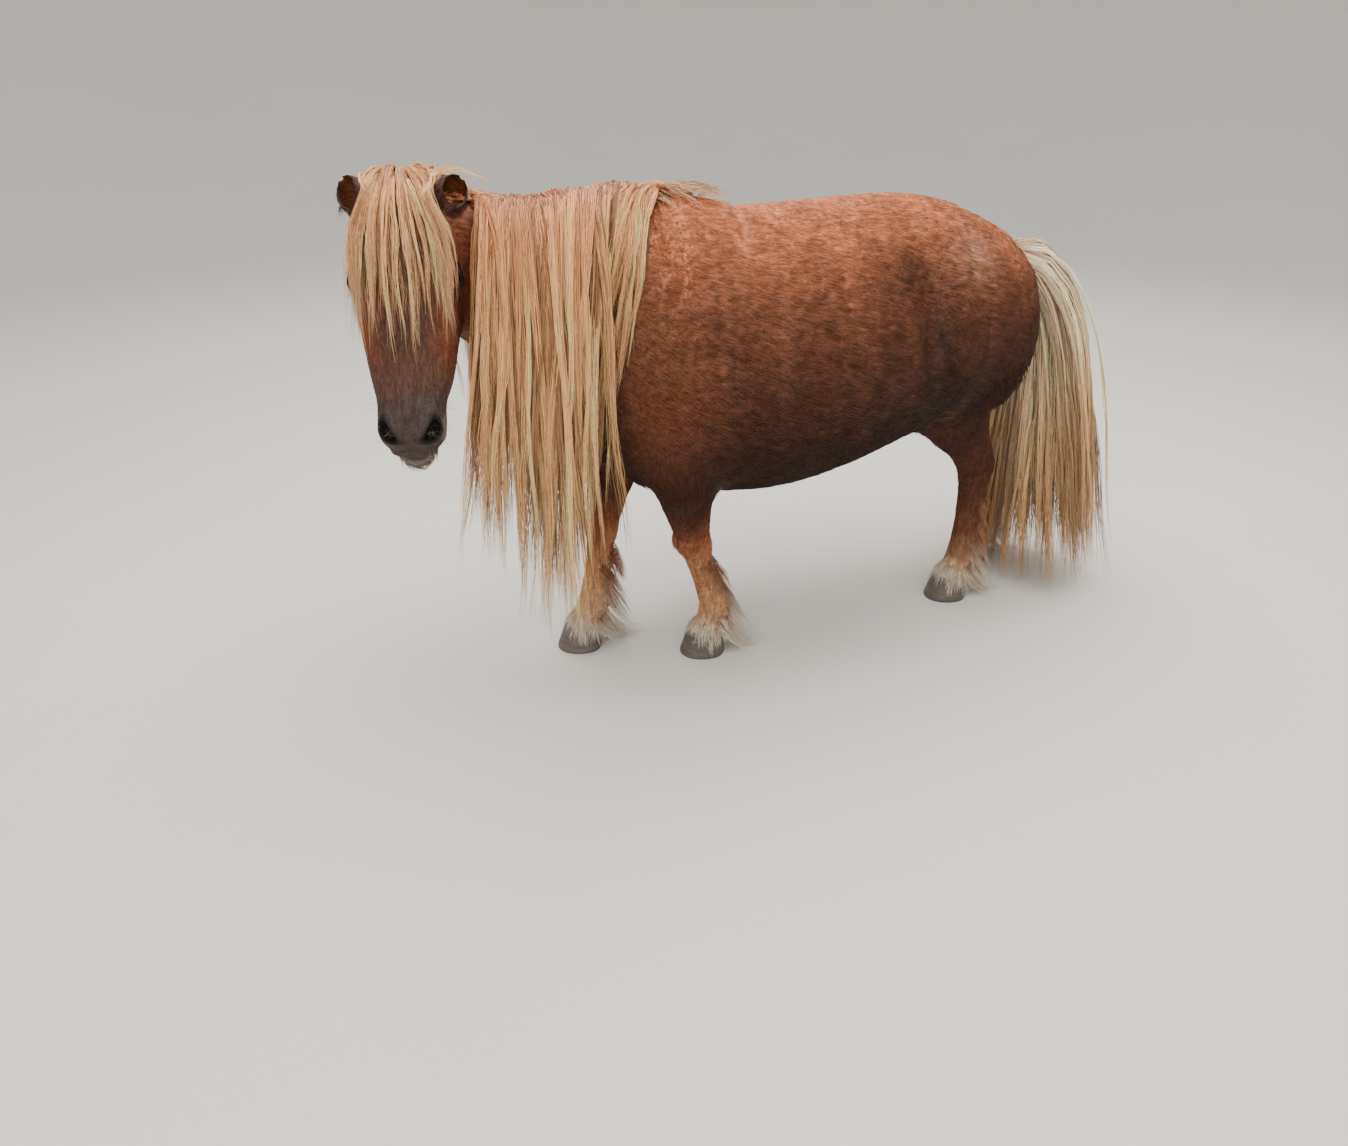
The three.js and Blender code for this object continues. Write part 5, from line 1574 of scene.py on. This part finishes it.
body_gap = np.minimum(trunk.outside(skin_points), 90)
neck_gap = neck.outside(skin_points)
head_gap = skull.outside(skin_points)
leg_gaps = np.min([leg.outside(skin_points) for leg in legs.values()], axis=0)
on_head_neck = (head_gap < np.minimum(body_gap, neck_gap) + 2) | (neck_gap < body_gap - 4)
coat_part = np.where(on_head_neck, HEAD_NECK_PART, BARREL_PART)
coat_part = np.where(~on_head_neck & (skin_points[:, 1] > 40), QUARTERS_PART, coat_part)
coat_part = np.where((leg_gaps < body_gap - 2) & (skin_points[:, 2] < 520), LEGS_PART, coat_part)
h, mirrored = head_places(skin_points)
down_face = np.clip(h[:, 0] / 400, 0, 1)
coat_length = np.full(len(skin_points), TRUNK_HAIR)
coat_length = np.where(head_gap < 12, between(*FACE_HAIR, down_face), coat_length)
coat_length = np.where((coat_part == HEAD_NECK_PART) & (head_gap >= 12), NECK_HAIR, coat_length)
leg_hair = np.clip(19 + (skin_points[:, 2] - 100) * 0.012, 17, 24)
coat_length = np.where(coat_part == LEGS_PART, leg_hair, coat_length)
shut, far, _ = lid_gap(mirrored - EYE_PLACE)
a, b, out = nostril_local(mirrored)
bare = ((shut < 2.5) & (far < 26)) | (skin_points[:, 2] < HOOF_HEIGHT)
bare |= (np.hypot(a / NOSTRIL_LONG, b / NOSTRIL_WIDE) < 1.15) & (np.abs(out) < 30)
over, _ = lip_places(h)
bare |= (np.abs(over) < 2.5) & (h[:, 0] > 335)
under_hair = (coat_part == HEAD_NECK_PART) & (head_gap > 20)
_, row = neck.beside(skin_points)
on_top = dot(skin_points - row[:, CENTRE], row[:, FRONT]) > 0.8 * row[:, FORE]
coat_thick = np.where(bare | (under_hair & on_top), 0, np.where(under_hair, 0.35, 1.0))
for name, coat in COAT_PIECES.items():
    weigh(joined, name, coat_thick * (coat_part == coat["part"]))
weigh(joined, "coat_length", coat_length * MM)
weigh(joined, "lie", lie(skin_points), "FLOAT_VECTOR")

growth = bpy.data.node_groups.new("coat_growth", "GeometryNodeTree")
for kind, title in (("Geometry", "Hide"), ("Object", "Tuft"), ("Material", "Finish"),
                    ("String", "Thickness"), ("Float", "Apart"), ("Int", "Seed")):
    growth.interface.new_socket(title, in_out="INPUT", socket_type=f"NodeSocket{kind}")
growth.interface.new_socket("Hair", in_out="OUTPUT", socket_type="NodeSocketGeometry")
given = add(growth, "NodeGroupInput").outputs


def named(kind, name):
    """A number or vector that the skin's points carry."""
    return add(growth, "GeometryNodeInputNamedAttribute", {"Name": name}, data_type=kind).outputs[0]


grown = add(growth, "GeometryNodeDistributePointsOnFaces", {
    "Mesh": given["Hide"], "Distance Min": given["Apart"], "Density Max": 60000.0,
    "Density Factor": named("FLOAT", given["Thickness"]), "Seed": given["Seed"]},
    distribute_method="POISSON")
laid = add(growth, "FunctionNodeAxesToRotation", {
    "Primary Axis": grown.outputs["Normal"], "Secondary Axis": named("FLOAT_VECTOR", "lie")},
    primary_axis="Z", secondary_axis="X")
astray = add(growth, "FunctionNodeRandomValue", {
    "Min": (-0.06, -0.05, -0.16), "Max": (0.06, 0.02, 0.16), "Seed": given["Seed"]}, data_type="FLOAT_VECTOR")
turned = add(growth, "FunctionNodeRotateRotation", {"Rotation": laid.outputs[0], "Rotate By": add(
    growth, "FunctionNodeEulerToRotation", {0: astray.outputs[0]}).outputs[0]}, rotation_space="LOCAL")
uneven = add(growth, "FunctionNodeRandomValue", {2: 0.7, 3: 1.25, "Seed": 5}, data_type="FLOAT")
long = add(growth, "ShaderNodeMath", {
    0: named("FLOAT", "coat_length"), 1: uneven.outputs[1]}, operation="MULTIPLY")
shape = add(growth, "GeometryNodeObjectInfo", {"Object": given["Tuft"]})
set_out = add(growth, "GeometryNodeInstanceOnPoints", {
    "Points": grown.outputs["Points"], "Instance": shape.outputs["Geometry"],
    "Rotation": turned.outputs[0], "Scale": long.outputs[0]})
tone = add(growth, "FunctionNodeRandomValue", {2: 0.84, 3: 1.18, "Seed": 9}, data_type="FLOAT")
toned = add(growth, "GeometryNodeStoreNamedAttribute", {
    "Geometry": set_out.outputs[0], "Name": "tone", "Value": tone.outputs[1]},
    data_type="FLOAT", domain="INSTANCE")
solid = add(growth, "GeometryNodeRealizeInstances", {"Geometry": toned.outputs[0]})
dressed = add(growth, "GeometryNodeSetMaterial", {"Geometry": solid.outputs[0], "Material": given["Finish"]})
add(growth, "NodeGroupOutput", {"Hair": dressed.outputs[0]})
sockets = {item.name: item.identifier for item in growth.interface.items_tree if item.in_out == "INPUT"}

# Short hair from root to tip: darker at the root, painted shade where it lies close under the other hair,
# and lighter at the tip
tip = add(tree, "ShaderNodeAttribute", attribute_name="tip")
tuft_tone = add(tree, "ShaderNodeAttribute", attribute_name="tone")
lighter = add(tree, "ShaderNodeMapRange", {"Value": tip.outputs["Fac"], "To Min": 0.76, "To Max": 1.34})
shade = add(tree, "ShaderNodeMath", {
    0: lighter.outputs[0], 1: tuft_tone.outputs["Fac"]}, operation="MULTIPLY")
# The same streaks and waves as on the skin: partly the hair's own tone, partly painted shade
tint = add(tree, "ShaderNodeVectorMath", {
    0: tinted(tree, *coat_pattern(tree), (0.84, 1.18), (0.64, 1.36)), 1: shade.outputs[0]},
    operation="MULTIPLY")
tree.links.new(tint.outputs[0], shader.inputs["Base Color"])

for name, coat in COAT_PIECES.items():
    made = bpy.data.objects.new(name, joined.copy())
    bpy.context.scene.collection.objects.link(made)
    grower = made.modifiers.new("coat", "NODES")
    grower.node_group = growth
    for title, value in (("Tuft", tuft), ("Finish", coat_hair), ("Thickness", name),
                         ("Apart", coat["apart"] * MM), ("Seed", coat["seed"])):
        grower[sockets[title]] = value
    hair = bpy.data.meshes.new_from_object(made.evaluated_get(bpy.context.evaluated_depsgraph_get()))
    made.modifiers.remove(grower)
    made.data = hair
    hair.name = name
    for spare in COAT_NAMES:
        hair.attributes.remove(hair.attributes[spare])
    hair.polygons.foreach_set("use_smooth", np.full(len(hair.polygons), True))
    corners = np.empty(len(hair.loops), np.int32)
    hair.loops.foreach_get("vertex_index", corners)
    roots = points_of(hair).reshape(-1, len(tuft_points), 3)[:, 0]
    bake_map(made, corners, roots, tuft_points[:, :2] + (0, 0.5))
    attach(made, "root")
bpy.data.objects.remove(tuft)
for spare in COAT_NAMES:
    joined.attributes.remove(joined.attributes[spare])

# The lashes and whiskers.
# Each upper lid has a row of long straight lashes, and fine stiff whiskers stand out of the lips and chin.
LASHES = 46
LASH_LENGTH = (13, 22)
LASH_DARK = "241813"
WHISKERS = 54
WHISKER_LENGTH = (14, 38)
WHISKER_PALE = "8a7c70"
WHISKER_RINGS = 5

for name, side in SIDES.items():
    rng = np.random.default_rng(71 + side)
    flip = (1, side, 1)
    along = np.linspace(-0.85, 0.85, LASHES)  # the lid, from corner to corner
    turn = np.radians(along * LID_SPAN)
    tilt = np.radians(LID_OPENING[0] * (1 - along**2) + 8)
    looks = EYE_LOOKS * np.cos(tilt)[:, None] + EYE_RISE * np.sin(tilt)[:, None]
    looks = looks * np.cos(turn)[:, None] + np.array([1, 0, 0]) * np.sin(turn)[:, None]
    roots = POLL + ((EYE_PLACE + looks * (EYE_RADIUS + 1)) * flip) @ HEAD_AXES
    way = unit(looks + EYE_LOOKS * 0.6 + (0.35, 0, 0) + rng.normal(0, 0.08, (LASHES, 3))) * flip @ HEAD_AXES
    out_to = np.linspace(0, 1, WHISKER_RINGS)[None, :, None]
    reach = rng.uniform(*LASH_LENGTH, LASHES)[:, None, None] * out_to
    lashes = roots[:, None, :] + way[:, None, :] * reach + DOWN * (reach / LASH_LENGTH[1]) ** 2 * 5
    places = np.stack([rng.uniform(*ends, WHISKERS) for ends in ((330, 412), (2, 56), (-108, -30))], 1)
    roots = POLL + (places * flip) @ HEAD_AXES
    for _ in range(4):
        here, out = slope(roots)
        roots = roots - unit(out) * np.clip(here + 0.5, -12, 12)[:, None]
    _, out = slope(roots)
    way = unit(unit(out) + rng.normal(0, 0.3, (WHISKERS, 3)))
    reach = rng.uniform(*WHISKER_LENGTH, WHISKERS)[:, None, None] * out_to
    whiskers = roots[:, None, :] + way[:, None, :] * reach + DOWN * (reach / WHISKER_LENGTH[1]) ** 2 * 9
    courses = np.concatenate([lashes, whiskers])
    widths = np.concatenate([np.full(LASHES, 0.9), np.full(WHISKERS, 0.5)])
    tones = np.concatenate([
        np.tile(linear(LASH_DARK), (LASHES, WHISKER_RINGS, 1)),
        np.tile(linear(WHISKER_PALE), (WHISKERS, WHISKER_RINGS, 1))])
    piece = strands(f"whiskers_{name}", courses, widths, tones, flaxen)
    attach(piece, "root")
